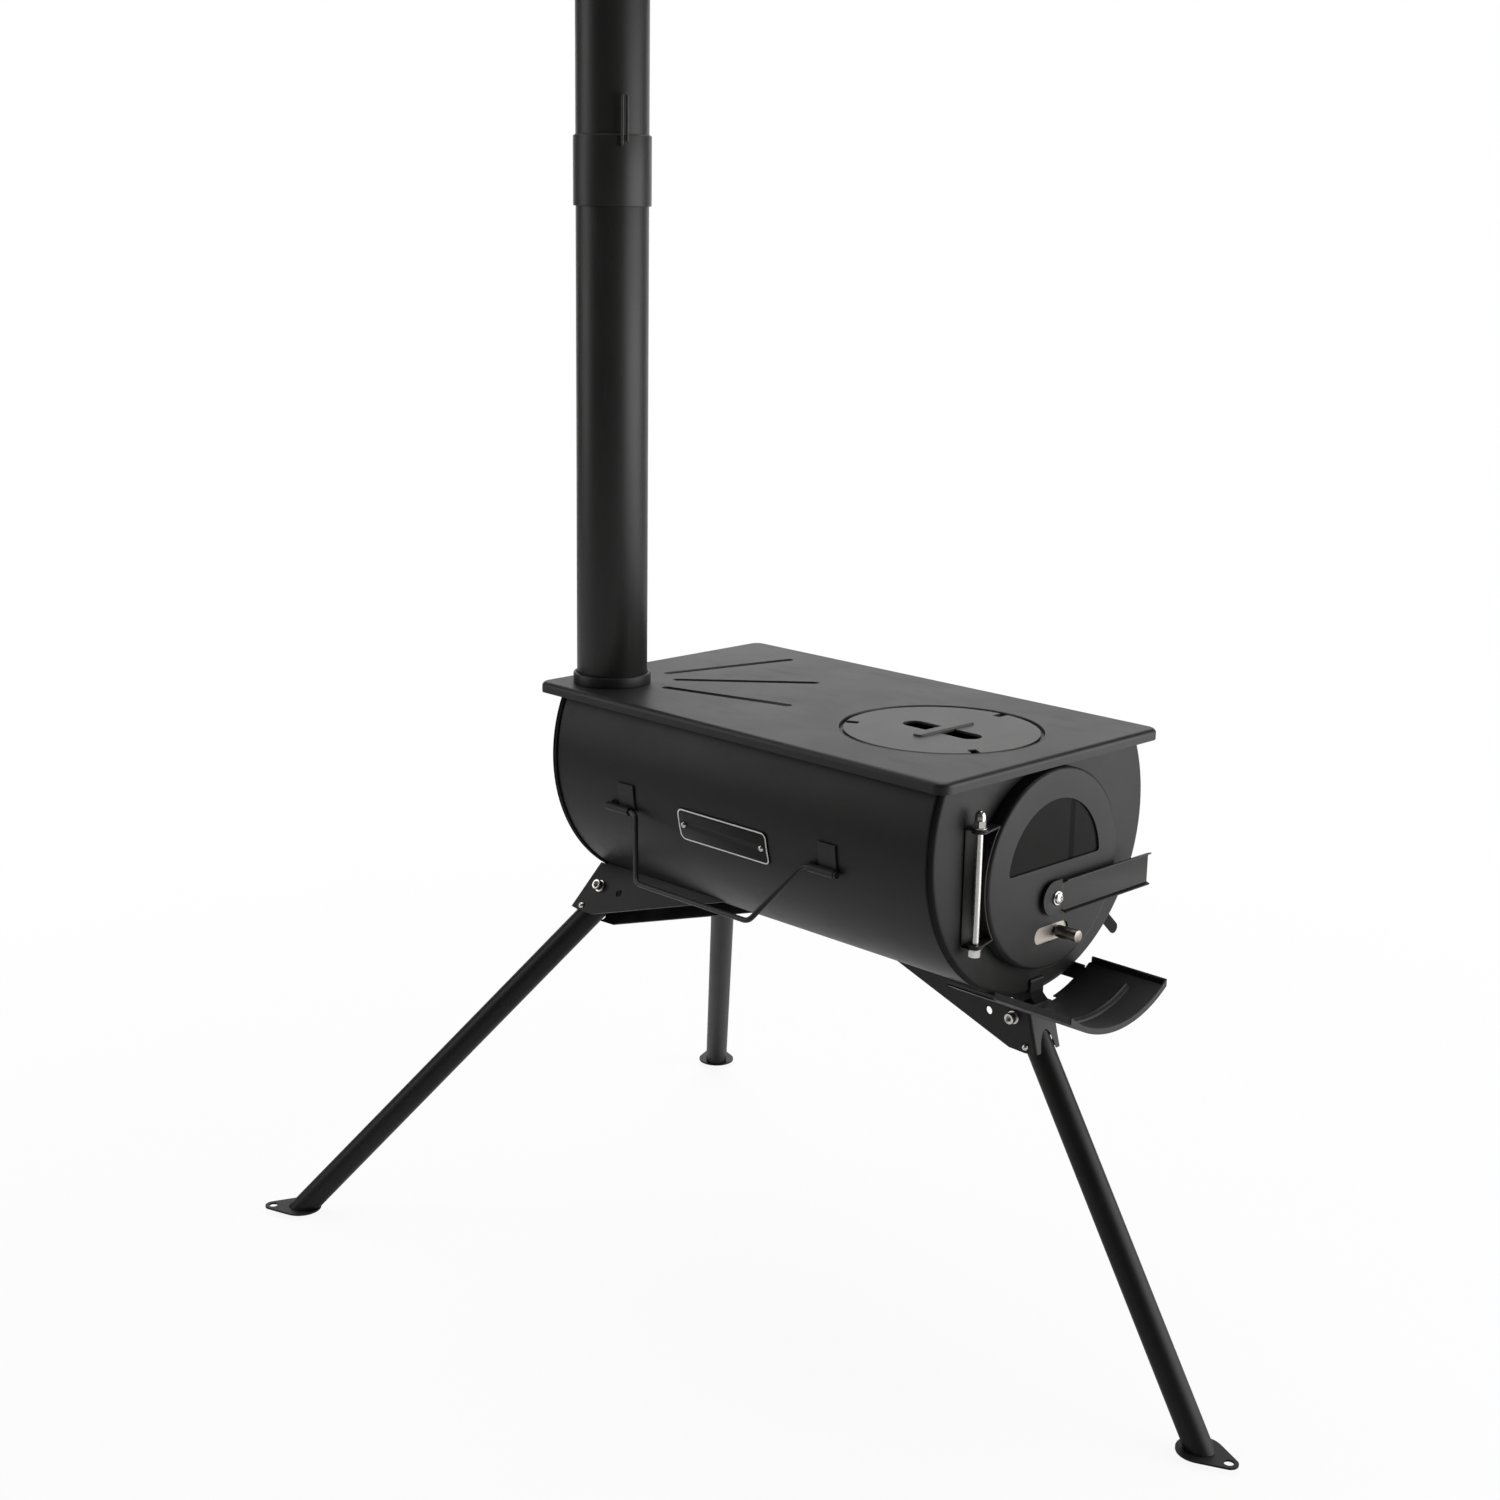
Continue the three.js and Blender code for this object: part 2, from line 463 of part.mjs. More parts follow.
const frontLip = box(-trayHalf, trayHalf, trayFrontY, trayFrontY + traySheet, trayBottom - 25, trayBottom + 60);
add('ash_tray', join(meet(plan, shell(traySheet)), meet(rim, frontLip),
  ...sides.map((s) => meet(rim, s)), ...armSides.map((s) => meet(shell(traySheet + armLip), s)),
  arcBead, ...sideBeads));

// Legs: one set built at its own pivot (local X across, Y outward, Z up) and placed three times.
const webSlope = 0.279, webFoot = 19.35;
const webAt = (up) => webFoot - webSlope * up;
const placings = [
  { name: 'front', pivot: frontPivot, x: [-1, 0, 0], out: [0, -1, 0], up: [0, 0, 1], lean: frontLean,
    length: frontLegLength, face: 1, top: 11.5 },
  { name: 'rear_near', pivot: [-rearPivot[0], rearPivot[1], rearPivot[2]],
    x: [Math.cos(rad(rearTilt)), 0, -Math.sin(rad(rearTilt))], out: [0, 1, 0], up: [Math.sin(rad(rearTilt)), 0, Math.cos(rad(rearTilt))], lean: rearLean, length: rearLegLength,
    face: -1, top: 42 },
  { name: 'rear_far', pivot: rearPivot, x: [Math.cos(rad(rearTilt)), 0, Math.sin(rad(rearTilt))],
    out: [0, 1, 0], up: [-Math.sin(rad(rearTilt)), 0, Math.cos(rad(rearTilt))], lean: rearLean, length: rearLegLength,
    face: 1, top: 42 },
];
const keepOut = join(cylY(barrelRadius + gap, -20, plateLength + 20, 0, barrelAxisZ, 80),
  cylY(rimOut + gap, frontFaceY - 3, frontFaceY + rimDepth + gap, 0, barrelAxisZ, 80),
  cylY(rimOut + gap, rearFaceY - rimDepth - gap, rearFaceY + 3, 0, barrelAxisZ, 80));
placings.forEach(({ name, pivot, x, out, up, lean, length, face, top }) => {
  const place = new THREE.Matrix4().makeBasis(V3(...x), V3(...out), V3(...up)).setPosition(...pivot);
  const lie = new THREE.Matrix4().makeRotationX(rad(lean));          // local -Z turns to the leg's direction
  const at = (t) => [Math.sin(rad(lean)) * t, -Math.cos(rad(lean)) * t];
  const folded = [Math.sin(rad(lean - 118)) * buttonReach, -Math.cos(rad(lean - 118)) * buttonReach];
  const rise = (h) => -3.7 - (h + 29.5) / Math.tan(rad(18.6));
  const high = 42;
  const inboard = top < high ? [[rise(high), high], [-18.5, high - 8], [-4, top]] : [[rise(high), high]];
  const side = outline([[webAt(top), top], [webAt(-28.5), -28.5], [14, -30], [-3.7, -29.5], ...inboard]);
  const ears = [-1, 1].map((s) => plateYZ(side, Math.min(s * bracketHalf, s * (bracketHalf - bracketSheet)),
    Math.max(s * bracketHalf, s * (bracketHalf - bracketSheet))));
  const web = plateYZ(outline([[webAt(top), top], [webAt(-28.5), -28.5], [webAt(-28.5) - bracketSheet, -28.5],
    [webAt(top) - bracketSheet, top]]), -bracketHalf + 1, bracketHalf - 1);
  const holes = [cylX(boltRadius + gap, -40, 40, 0, 0, 16), cylX(3.5 + gap, -40, 40, ...at(buttonReach), 24),
    cylX(3.5 + gap, -40, 40, ...folded, 24)];
  const legSweep = cylZ(legRadius + 1.2, -90, 2, 0, 0, 24).applyMatrix4(lie);
  add(`leg_bracket_${name}`, cut(join(...ears, cut(web, legSweep)).applyMatrix4(place), keepOut,
    ...holes.map((h) => h.applyMatrix4(place))));
  const head = bracketHalf + gap;
  const bolt = latheY([[0, -head - 7], [4.6, -head - 7], [5, -head - 6.6], [5, -head - 1], [6.2, -head - 1], [6.2, -head],
    [boltRadius, -head], [boltRadius, head], [6.2, head], [6.2, head + 1], [5.2, head + 1], [5.2, head + 5.5],
    [0, head + 5.5]], 0, 0, 16);
  const socketHole = plateXZ(hexagon(3), -head - 9, -head - 3.5);
  const turn = new THREE.Matrix4().makeRotationZ(rad(face > 0 ? 90 : -90));
  add(`pivot_bolt_${name}`, cut(bolt, socketHole).applyMatrix4(turn).applyMatrix4(place), steel);
  add(`snap_button_${name}`, latheY([[0, -bracketHalf - 3.2], [1.8, -bracketHalf - 2.8], [3.1, -bracketHalf - 1.6],
    [3.5, -bracketHalf], [3.5, -legRadius - gap - 0.4], [0, -legRadius - gap - 0.4]], 0, 0, 16)
    .applyMatrix4(turn).translate(0, ...at(buttonReach)).applyMatrix4(place), steel);
  const tubeEnd = length + 12;
  const tube = cut(cylZ(legRadius, -tubeEnd, legOverhang, 0, 0, 28),
    cylZ(legRadius - legWall, -tubeEnd - 5, legOverhang + 5, 0, 0, 28),
    cylX(boltRadius + gap, -40, 40, 0, 0, 16));
  const floor = box(-900, 900, -900, 1500, -300, footPlateZ + footThick + gap);
  add(`leg_tube_${name}`, cut(tube.applyMatrix4(lie).applyMatrix4(place), floor));
  const foot = V3(0, ...at(length)).applyMatrix4(place);
  const heading = Math.atan2(foot.y - pivot[1], foot.x - pivot[0]);
  const plate = new THREE.Shape();
  plate.absarc(0, 0, footRadius, rad(64), rad(296), false);
  plate.absarc(footTip - 8.5, 0, 8.5, rad(-64), rad(64), false);
  const spike = latheZ([[0, 0], [1.2, 0], [3.6, footPlateZ - 0.5], [3.6, footPlateZ + 0.5], [0, footPlateZ + 0.5]], 0, 0, 16);
  add(`foot_plate_${name}`, cut(join(plateXY(plate, footPlateZ, footPlateZ + footThick), spike),
    cylZ(4.5, 0, 10, footTip - 8.5, 0, 20)).rotateZ(heading).translate(foot.x, foot.y, 0));
});

// Carry wires in their clips, on both sides of the barrel.
const wireOrbit = barrelRadius + gap + sleeveRadius;
const hold = V3(-wireOrbit * Math.cos(rad(wireAngle)), 0, barrelAxisZ - wireOrbit * Math.sin(rad(wireAngle)));
const drop = (y, d) => V3(hold.x - d * Math.sin(rad(wireSwing)), y, hold.z - d * Math.cos(rad(wireSwing)));
const flip = (g, side) => (side > 0 ? g : back(solid(g).mirror([1, 0, 0])));
[['near', 1], ['far', -1]].forEach(([side, s]) => {
  const end = wireTopHalf + sleeveStep + sleeveLength;
  const bail = wire([drop(wireCentreY - end - 1, 0), drop(wireCentreY - wireTopHalf, 0),
    drop(wireCentreY - wireLowHalf, wireDepth), drop(wireCentreY + wireLowHalf, wireDepth),
    drop(wireCentreY + wireTopHalf, 0), drop(wireCentreY + end + 1, 0)], wireRadius, 5);
  const knobs = [wireCentreY - end - 2.5, wireCentreY + end + gap]
    .map((y) => cylY(wireRadius + 1, y, y + 2.2, hold.x, hold.z, 20));
  add(`carry_wire_${side}`, flip(join(bail, ...knobs), s), brushed);
  [['front', wireCentreY - end, wireCentreY - end], ['rear', wireCentreY + wireTopHalf + sleeveStep,
    wireCentreY + wireTopHalf + sleeveStep - 5]]
    .forEach(([where, sleeveY, plateY]) => {
      const plate = plateXZ(arcShape(barrelRadius + gap, barrelRadius + gap + sheet, 183, 180 + wireAngle, 0, barrelAxisZ),
        plateY, plateY + clipWidth);
      const clip = cut(join(plate, cylY(sleeveRadius, sleeveY, sleeveY + sleeveLength, hold.x, hold.z, 20)),
        cylY(wireRadius + gap, sleeveY - 30, sleeveY + sleeveLength + 30, hold.x, hold.z, 20));
      add(`wire_clip_${side}_${where}`, flip(clip, s));
    });
});

// Nameplate (left plain) and its screws.
const bandY = [nameY - nameWidth / 2, nameY + nameWidth / 2];
const bend = rad(nameAngle);
const aim = new THREE.Matrix4().makeRotationY(-bend).setPosition(0, 0, barrelAxisZ);
const blank = raise(roundedBox(nameWidth, nameHeight, 4), 40)
  .applyMatrix4(new THREE.Matrix4().makeBasis(V3(0, 1, 0), V3(0, 0, 1), V3(1, 0, 0)))
  .translate(-barrelRadius - 20, nameY, 0).applyMatrix4(aim);
const screwAt = [bandY[0] + 8, bandY[1] - 7];
const radial = (r, a, b, y) => cylX(r, -b, -a, y, 0, 20).applyMatrix4(aim);
const plateIn = barrelRadius + gap;
add('nameplate', cut(meet(cut(cylY(plateIn + nameThick, ...bandY, 0, barrelAxisZ, 100),
  cylY(plateIn, bandY[0] - 5, bandY[1] + 5, 0, barrelAxisZ, 100)), blank),
...screwAt.map((y) => radial(1.5 + gap, plateIn - 16, plateIn + 14, y))), label);
screwAt.forEach((y, i) => {
  const r = plateIn + nameThick + gap;
  add(`nameplate_screw_${i + 1}`, latheY([[0, plateIn + 0.1], [1.5, plateIn + 0.1], [1.5, r], [3, r], [2.7, r + 1],
    [1.5, r + 1.7], [0, r + 1.9]], 0, 0, 20).rotateZ(Math.PI / 2).translate(0, y, 0).applyMatrix4(aim), steel);
});

// Small rounded tab low on the far side, just behind the front plate.
const tabIn = barrelRadius + gap;
const tabBlade = plateXZ(stadium(tabIn + 4, 0, tabIn + tabReach - tabWidth / 2, 0, tabWidth / 2), tabY, tabY + sheet);
const tabRoot = plateXZ(outline([[tabIn - 1, -tabWidth / 2], [tabIn + 12, -tabWidth / 2], [tabIn + 12, tabWidth / 2],
  [tabIn - 1, tabWidth / 2]]), tabY, tabY + sheet);
const tabFoot = meet(cut(cylY(tabIn + sheet, tabY, tabY + 13, 0, 0, 80), cylY(tabIn, tabY - 5, tabY + 20, 0, 0, 80)),
  box(tabIn - 46, tabIn + 54, 0, 60, -tabWidth / 2, tabWidth / 2));
add('side_tab', cut(join(tabBlade, tabRoot, tabFoot), cylY(tabIn, 0, 60, 0, 0, 80))
  .rotateY(rad(tabAngle)).translate(0, 0, barrelAxisZ));

// Origin at the middle of the footprint, on the ground.
const size = new THREE.Box3().setFromObject(part);
const centre = size.getCenter(V3(0, 0, 0));
part.children.forEach((m) => m.geometry.translate(-centre.x, -centre.y, -size.min.z));

export default part;
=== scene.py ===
import math

import bpy
from mathutils import Matrix, Vector


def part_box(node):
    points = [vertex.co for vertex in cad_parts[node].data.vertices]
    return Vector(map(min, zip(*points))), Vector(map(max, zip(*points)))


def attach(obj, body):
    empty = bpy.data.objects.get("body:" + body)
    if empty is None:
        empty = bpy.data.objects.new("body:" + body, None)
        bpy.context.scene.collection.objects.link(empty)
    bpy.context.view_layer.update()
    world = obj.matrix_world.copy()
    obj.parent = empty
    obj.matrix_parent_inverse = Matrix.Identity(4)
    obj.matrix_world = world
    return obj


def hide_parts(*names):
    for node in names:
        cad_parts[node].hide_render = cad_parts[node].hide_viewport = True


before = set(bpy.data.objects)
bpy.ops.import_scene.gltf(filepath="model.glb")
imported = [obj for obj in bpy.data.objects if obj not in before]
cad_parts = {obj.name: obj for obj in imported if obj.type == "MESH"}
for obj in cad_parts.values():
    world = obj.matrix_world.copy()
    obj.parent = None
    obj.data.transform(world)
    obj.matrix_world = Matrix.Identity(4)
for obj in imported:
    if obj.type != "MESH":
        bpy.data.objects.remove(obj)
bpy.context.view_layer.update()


# ---------------------------------------------------------------- firebox barrel
# One sheet of 1.5 mm steel, rolled to a tube and cut off flat along the top, where the cooking plate
# closes it. It is sprayed with matt heat-proof black, which dries with a fine pebbled skin.
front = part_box("top_plate")[0].y
barrel_z = 0.5151
barrel_radius = 0.1457
sheet = 0.0015
gap = 0.0003
bolt_bore = 0.0033
cut_height = 0.5852


def pick(piece):
    """Makes a piece the active one and the only one selected."""
    bpy.ops.object.select_all(action="DESELECT")
    piece.select_set(True)
    bpy.context.view_layer.objects.active = piece


def settle(piece, name, smooth=30):
    """Names a piece, fixes its place into its mesh and smooths it up to an angle."""
    pick(piece)
    piece.name = piece.data.name = name
    bpy.ops.object.transform_apply(location=True, rotation=True, scale=True)
    bpy.ops.object.shade_smooth_by_angle(angle=math.radians(smooth))
    return piece


def turned(name, rings, place, along="Y", sides=128, smooth=30):
    """A turned or rolled form: one ring drawn out and scaled to each (radius, distance) in turn."""
    bpy.ops.object.select_all(action="DESELECT")
    radius, height = max(rings[0][0], 1e-5), rings[0][1]
    bpy.ops.mesh.primitive_circle_add(vertices=sides, radius=radius)
    piece = bpy.context.object
    bpy.ops.object.mode_set(mode="EDIT")
    bpy.ops.mesh.select_all(action="SELECT")
    bpy.ops.transform.translate(value=(0, 0, height))
    for r, h in rings[1:]:
        r = max(r, 1e-5)
        bpy.ops.mesh.extrude_region_move(TRANSFORM_OT_translate={"value": (0, 0, h - height)})
        bpy.ops.transform.resize(value=(r / radius, r / radius, 1), center_override=(0, 0, h))
        radius, height = r, h
    bpy.ops.mesh.select_all(action="SELECT")
    bpy.ops.mesh.remove_doubles(threshold=2e-5)
    bpy.ops.mesh.normals_make_consistent(inside=False)
    bpy.ops.object.mode_set(mode="OBJECT")
    piece.rotation_euler = {"X": (0, math.pi / 2, 0), "Y": (-math.pi / 2, 0, 0),
                            "Z": (0, 0, 0)}[along]
    piece.location = place
    return settle(piece, name, smooth)


def drill(radius, low, high, place, along="Y", sides=128):
    """A round cutter, reaching from one distance to another along its line."""
    ends = [(0, low), (radius, low), (radius, high), (0, high)]
    return turned("cutter", ends, place, along, sides)


def worked(piece, kind, **settings):
    """Adds one modifier to a piece and applies it."""
    pick(piece)
    change = piece.modifiers.new(kind, kind)
    for key, value in settings.items():
        setattr(change, key, value)
    bpy.ops.object.modifier_apply(modifier=change.name)
    return piece


def combine(piece, how, *others):
    """Cuts, joins or crosses a piece with others, which are used up."""
    for other in others:
        worked(piece, "BOOLEAN", operation=how, solver="EXACT", object=other)
        bpy.data.objects.remove(other)
    return piece


def crisp(piece, width=0.0003, smooth=30, segments=2, angle=38):
    """Breaks the sharp edges as a file does, so that they catch the light."""
    worked(piece, "BEVEL", width=width, segments=segments, limit_method="ANGLE",
           angle_limit=math.radians(angle), miter_outer="MITER_ARC")
    return settle(piece, piece.name, smooth)


def shear_top(piece, height, fill):
    """Cuts a piece off level at a height."""
    pick(piece)
    bpy.ops.object.mode_set(mode="EDIT")
    bpy.ops.mesh.select_all(action="SELECT")
    bpy.ops.mesh.bisect(plane_co=(0, 0, height), plane_no=(0, 0, 1), use_fill=fill,
                        clear_outer=True)
    bpy.ops.object.mode_set(mode="OBJECT")
    return piece


class Value:
    """A value in a material. Sums on it add Math nodes."""

    def __init__(self, shop, socket):
        self.shop, self.socket = shop, socket

    def sum(self, operation, left, right=0.0):
        return self.shop.node("ShaderNodeMath", {"operation": operation}, {0: left, 1: right})

    def __add__(self, other):
        return self.sum("ADD", self, other)

    def __sub__(self, other):
        return self.sum("SUBTRACT", self, other)

    def __rsub__(self, other):
        return self.sum("SUBTRACT", other, self)

    def __mul__(self, other):
        return self.sum("MULTIPLY", self, other)

    def __pow__(self, other):
        return self.sum("POWER", self, other)

    def above(self, edge, width):
        """0 below an edge, 1 above it, with a soft step between."""
        return self.shop.node("ShaderNodeMapRange", {"interpolation_type": "SMOOTHSTEP"},
                              {0: self, 1: edge - width, 2: edge + width, 3: 0.0, 4: 1.0})

    __radd__, __rmul__ = __add__, __mul__


class Shop:
    """One material and its nodes."""

    def __init__(self, name, **shader):
        self.material = bpy.data.materials.new(name)
        self.material.use_nodes = True
        self.tree = self.material.node_tree
        self.shader = self.tree.nodes["Principled BSDF"]
        for key, value in shader.items():
            self.shader.inputs[key.replace("_", " ")].default_value = value
        self.place = self.node("ShaderNodeTexCoord", out="Object")

    def node(self, kind, settings=None, inputs=None, out=0):
        made = self.tree.nodes.new(kind)
        for key, value in (settings or {}).items():
            if key == "stops":
                for stop, (where, colour) in zip([made.color_ramp.elements[0],
                                                  made.color_ramp.elements[1]], value):
                    stop.position, stop.color = where, colour
            else:
                setattr(made, key, value)
        for key, value in (inputs or {}).items():
            if isinstance(value, Value):
                self.tree.links.new(value.socket, made.inputs[key])
            else:
                made.inputs[key].default_value = value
        return Value(self, made.outputs[out])

    def noise(self, scale, detail=2.0, stretch=(1, 1, 1), rough=0.5):
        spread = self.node("ShaderNodeMapping", inputs={"Vector": self.place, "Scale": stretch})
        return self.node("ShaderNodeTexNoise", inputs={"Vector": spread, "Scale": scale,
                                                       "Detail": detail, "Roughness": rough})

    def mix(self, amount, dark, light):
        made = self.tree.nodes.new("ShaderNodeMix")
        made.data_type = "RGBA"
        for socket, value in zip((made.inputs[0], made.inputs[6], made.inputs[7]),
                                 (amount, dark, light)):
            if isinstance(value, Value):
                self.tree.links.new(value.socket, socket)
            else:
                socket.default_value = value if isinstance(value, float) else (*value, 1)
        return Value(self, made.outputs[2])

    def bump(self, height, strength, distance):
        return self.node("ShaderNodeBump", inputs={"Height": height, "Strength": strength,
                                                   "Distance": distance})

    def set(self, **sockets):
        for key, value in sockets.items():
            self.tree.links.new(value.socket, self.shader.inputs[key.replace("_", " ")])
        return self.material


def stove_black(name, tone=0.022, rough=0.47, specular=0.32, grain=0.16, streak=(1, 1, 1),
                rim_shade_radius=None):
    """Matt heat-proof black: pebbled skin, soft cloudy patches and paler rubbed streaks. Given a
    radius, colour further than that from the barrel's middle is darkened to near black as painted shade, and made
    rougher."""
    shop = Shop(name, Specular_IOR_Level=specular)
    cloud = shop.noise(14.0, 4.0)
    rubbed = shop.noise(60.0, 5.0, streak, 0.7).above(0.62, 0.12)
    pebble = shop.noise(1300.0, 2.0)
    dark, light = (tone * 0.82, tone * 0.79, tone * 0.77), (tone * 1.25, tone * 1.2, tone * 1.16)
    colour = shop.mix(rubbed * 0.5, shop.mix(cloud, dark, light),
                      (tone * 1.9, tone * 1.82, tone * 1.75))
    shine = cloud * 0.12 + (rough - 0.06) + rubbed * 0.05
    if rim_shade_radius:
        apart = shop.node("ShaderNodeSeparateXYZ", inputs={0: shop.place})
        side, height = (Value(shop, apart.socket.node.outputs[k]) for k in (0, 2))
        height = height - barrel_z
        # Painted shade: past the radius the colour is mixed to near black and the roughness raised, standing in for
        # the shade on the rolled rims.
        thick = ((side * side + height * height) ** 0.5).above(rim_shade_radius, 0.0006)
        colour, shine = shop.mix(thick, colour, (0.002, 0.002, 0.002)), shine + thick * 0.3
    return shop.set(Base_Color=colour, Roughness=shine,
                    Normal=shop.bump(pebble * 0.7 + cloud * 0.3, grain, 0.0003))


def ready(piece, finish, body, *nodes, slot="black_paint"):
    """Gives a piece its finish and its body, and hides the CAD nodes that it stands for."""
    piece.data.materials.clear()
    piece.data.materials.append(finish)
    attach(piece, body)
    if nodes:
        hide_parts(*nodes)
    return piece


body_paint = stove_black("barrel_black", tone=0.007, rough=0.42, specular=0.27, streak=(0.25, 1, 1))
barrel = turned("barrel_sheet", [(barrel_radius, front + 0.0148), (barrel_radius, front + 0.5007)],
                (0, 0, barrel_z), sides=160)
shear_top(barrel, cut_height, False)
worked(barrel, "SOLIDIFY", thickness=sheet, offset=-1)
settle(barrel, "barrel_sheet")
ready(barrel, body_paint, "firebox", "firebox_barrel")


# ---------------------------------------------------------------- end plates
# Two pressed discs close the barrel. Each has its rim rolled back over the barrel in a double bead.
# The front one is pierced for the door ring, a turned-out collar that the dished door closes over.
rim_radius = 0.1475
door_z = 0.485
ring_radius = 0.079


def end_plate(name, face, way):
    """A disc with a rolled double-beaded rim."""
    run = [(0, 0), (0.1425, 0), (0.1440, 0.0004), (0.1453, 0.0011), (0.1463, 0.0019),
           (0.1470, 0.0028), (rim_radius, 0.0036),
           (0.1473, 0.0041), (0.1465, 0.0047), (0.1473, 0.0053), (rim_radius, 0.0058),
           (rim_radius, 0.0070),
           (0.1471, 0.0079), (0.1461, 0.0080), (0.1460, 0.0050), (0.1459, 0.0036), (0.1447, 0.0024),
           (0.1425, sheet), (0, sheet)]
    plate = turned(name, [(r, way * h) for r, h in run], (0, face, barrel_z), sides=160)
    return shear_top(plate, cut_height, True)


front_plate = end_plate("front_end_plate", front + 0.013, 1)
opening = drill(0.0805, -0.01, 0.03, (0, front, door_z), sides=96)
bpy.ops.mesh.primitive_cube_add(size=1, location=(0, front + 0.013, 0.381))
slot_cut = bpy.context.object
slot_cut.scale = (0.0186, 0.03, 0.0022)
combine(front_plate, "DIFFERENCE", opening, slot_cut)
settle(front_plate, "front_end_plate")
door_ring = turned("door_ring", [(0.0790, 0.0145), (0.0790, 0.0058), (0.0794, 0.0051),
                                 (0.0802, 0.0050), (0.0811, 0.0051),
                                 (0.0815, 0.0058), (0.0815, 0.0118), (0.0818, 0.0125),
                                 (0.0826, 0.0129), (0.0826, 0.0145),
                                 (0.0790, 0.0145)], (0, front, door_z), sides=128)
# Beyond this radius the plate paint carries a painted shade, which darkens the rolled rims of both end plates to
# near black.
plate_paint = stove_black("front_plate_black", tone=0.013, streak=(1, 1, 0.3), rim_shade_radius=0.1445)
ready(front_plate, plate_paint, "firebox", "front_plate")
ready(door_ring, plate_paint, "firebox")
ready(end_plate("rear_end_plate", front + 0.5025, -1), plate_paint, "firebox", "rear_plate")


# ---------------------------------------------------------------- cooking plate
# A pressed tray of sheet turned upside down, welded on the cut barrel. Its edge is folded down all
# round, three grooves fan out from the flue to stiffen it, and a stepped well takes the round lid.
plate_top = 0.587
lid_x, lid_y = -0.003, front + 0.129
flue_x, flue_y = -0.0965, front + 0.470


def block(name, low, high):
    """A straight block between two corners."""
    bpy.ops.object.select_all(action="DESELECT")
    low, high = Vector(low), Vector(high)
    bpy.ops.mesh.primitive_cube_add(size=1, location=(low + high) / 2)
    made = bpy.context.object
    made.scale = high - low
    return settle(made, name)


def bevel_edges(piece, test, width, segments):
    """Rounds the edges whose two ends both pass a test."""
    pick(piece)
    bpy.ops.object.mode_set(mode="EDIT")
    bpy.ops.mesh.select_all(action="DESELECT")
    bpy.ops.mesh.select_mode(type="EDGE")
    bpy.ops.object.mode_set(mode="OBJECT")
    points = piece.data.vertices
    for edge in piece.data.edges:
        edge.select = test(*(points[i].co for i in edge.vertices))
    bpy.ops.object.mode_set(mode="EDIT")
    bpy.ops.mesh.bevel(offset=width, segments=segments, profile=0.5, affect="EDGES")
    bpy.ops.mesh.select_mode(type="VERT")
    bpy.ops.object.mode_set(mode="OBJECT")
    return piece


def drop_faces(piece, test):
    """Deletes the faces whose middle and normal pass a test."""
    bpy.context.view_layer.objects.active = piece
    bpy.ops.object.mode_set(mode="EDIT")
    bpy.ops.mesh.select_all(action="DESELECT")
    bpy.ops.mesh.select_mode(type="FACE")
    bpy.ops.object.mode_set(mode="OBJECT")
    for face in piece.data.polygons:
        face.select = test(face.center, face.normal)
    bpy.ops.object.mode_set(mode="EDIT")
    bpy.ops.mesh.delete(type="FACE")
    bpy.ops.mesh.select_mode(type="VERT")
    bpy.ops.object.mode_set(mode="OBJECT")
    return piece


top = block("cooking_plate", (-0.151, front, plate_top - 0.010), (0.151, front + 0.5183, plate_top))
bevel_edges(top, lambda a, b: abs(a.z - b.z) > 0.005, 0.012, 10)
bevel_edges(top, lambda a, b: a.z > plate_top - 1e-4 and b.z > plate_top - 1e-4, 0.0042, 6)
drop_faces(top, lambda centre, normal: normal.z < -0.9)
worked(top, "SOLIDIFY", thickness=sheet, offset=-1)
lid_hole = drill(0.0928, -0.02, 0.02, (lid_x, lid_y, plate_top), "Z", 128)
flue_hole = drill(0.0303, -0.02, 0.02, (flue_x, flue_y, plate_top), "Z", 64)
combine(top, "DIFFERENCE", lid_hole, flue_hole)
for x0, y0, x1, y1 in ((-0.0344, 0.4626, 0.1122, 0.4277), (-0.0474, 0.4366, 0.0516, 0.3323),
                       (-0.0773, 0.4188, -0.0398, 0.2807)):
    start, end = Vector((x0, front + y0, plate_top)), Vector((x1, front + y1, plate_top))
    run = (end - start).length
    for how, half, deep, below in (("UNION", 0.0062, 0.0030, 0.0034),
                                   ("DIFFERENCE", 0.0048, 0.0034, 0)):
        groove = turned("groove", [(0, 0), (half * 0.4, 0.0006), (half * 0.75, 0.002),
                                   (half, 0.0042), (half, run - 0.0042),
                                   (half * 0.75, run - 0.002), (half * 0.4, run - 0.0006),
                                   (0, run)], (0, 0, 0), "Y", 24)
        groove.scale = (1, 1, deep / half)
        groove.rotation_euler = (0, 0, math.atan2(end.y - start.y, end.x - start.x) - math.pi / 2)
        groove.location = start - Vector((0, 0, below))
        settle(groove, "groove")
        combine(top, how, groove)
settle(top, "cooking_plate", 35)
well = turned("lid_well", [(0.0820, -0.0048), (0.0930, -0.0048), (0.0938, -0.0044),
                           (0.0941, -0.0036), (0.0941, -0.0006),
                           (0.0938, 0.0), (0.0930, 0.0003), (0.0923, 0.0), (0.0920, -0.0006),
                           (0.0920, -0.0033),
                           (0.0820, -0.0033), (0.0820, -0.0048)], (lid_x, lid_y, plate_top), "Z",
              128)
top_paint = stove_black("cooking_plate_black", tone=0.013, rough=0.44, specular=0.38, grain=0.12,
                        streak=(1, 0.3, 1))
ready(top, top_paint, "firebox", "top_plate")
ready(well, top_paint, "firebox")


# ---------------------------------------------------------------- cook lid
# A flat disc of plate that drops flush into the well. Three rim notches let it be turned, and a bar
# pressed up across the long slot takes the lifting hook.
lid_top = 0.5867
lid_thick = 0.0028


def arc(x, y, radius, start, stop, steps):
    """Points along an arc, in degrees."""
    return [(x + radius * math.cos(math.radians(start + (stop - start) * k / steps)),
             y + radius * math.sin(math.radians(start + (stop - start) * k / steps))) for k in range(steps + 1)]


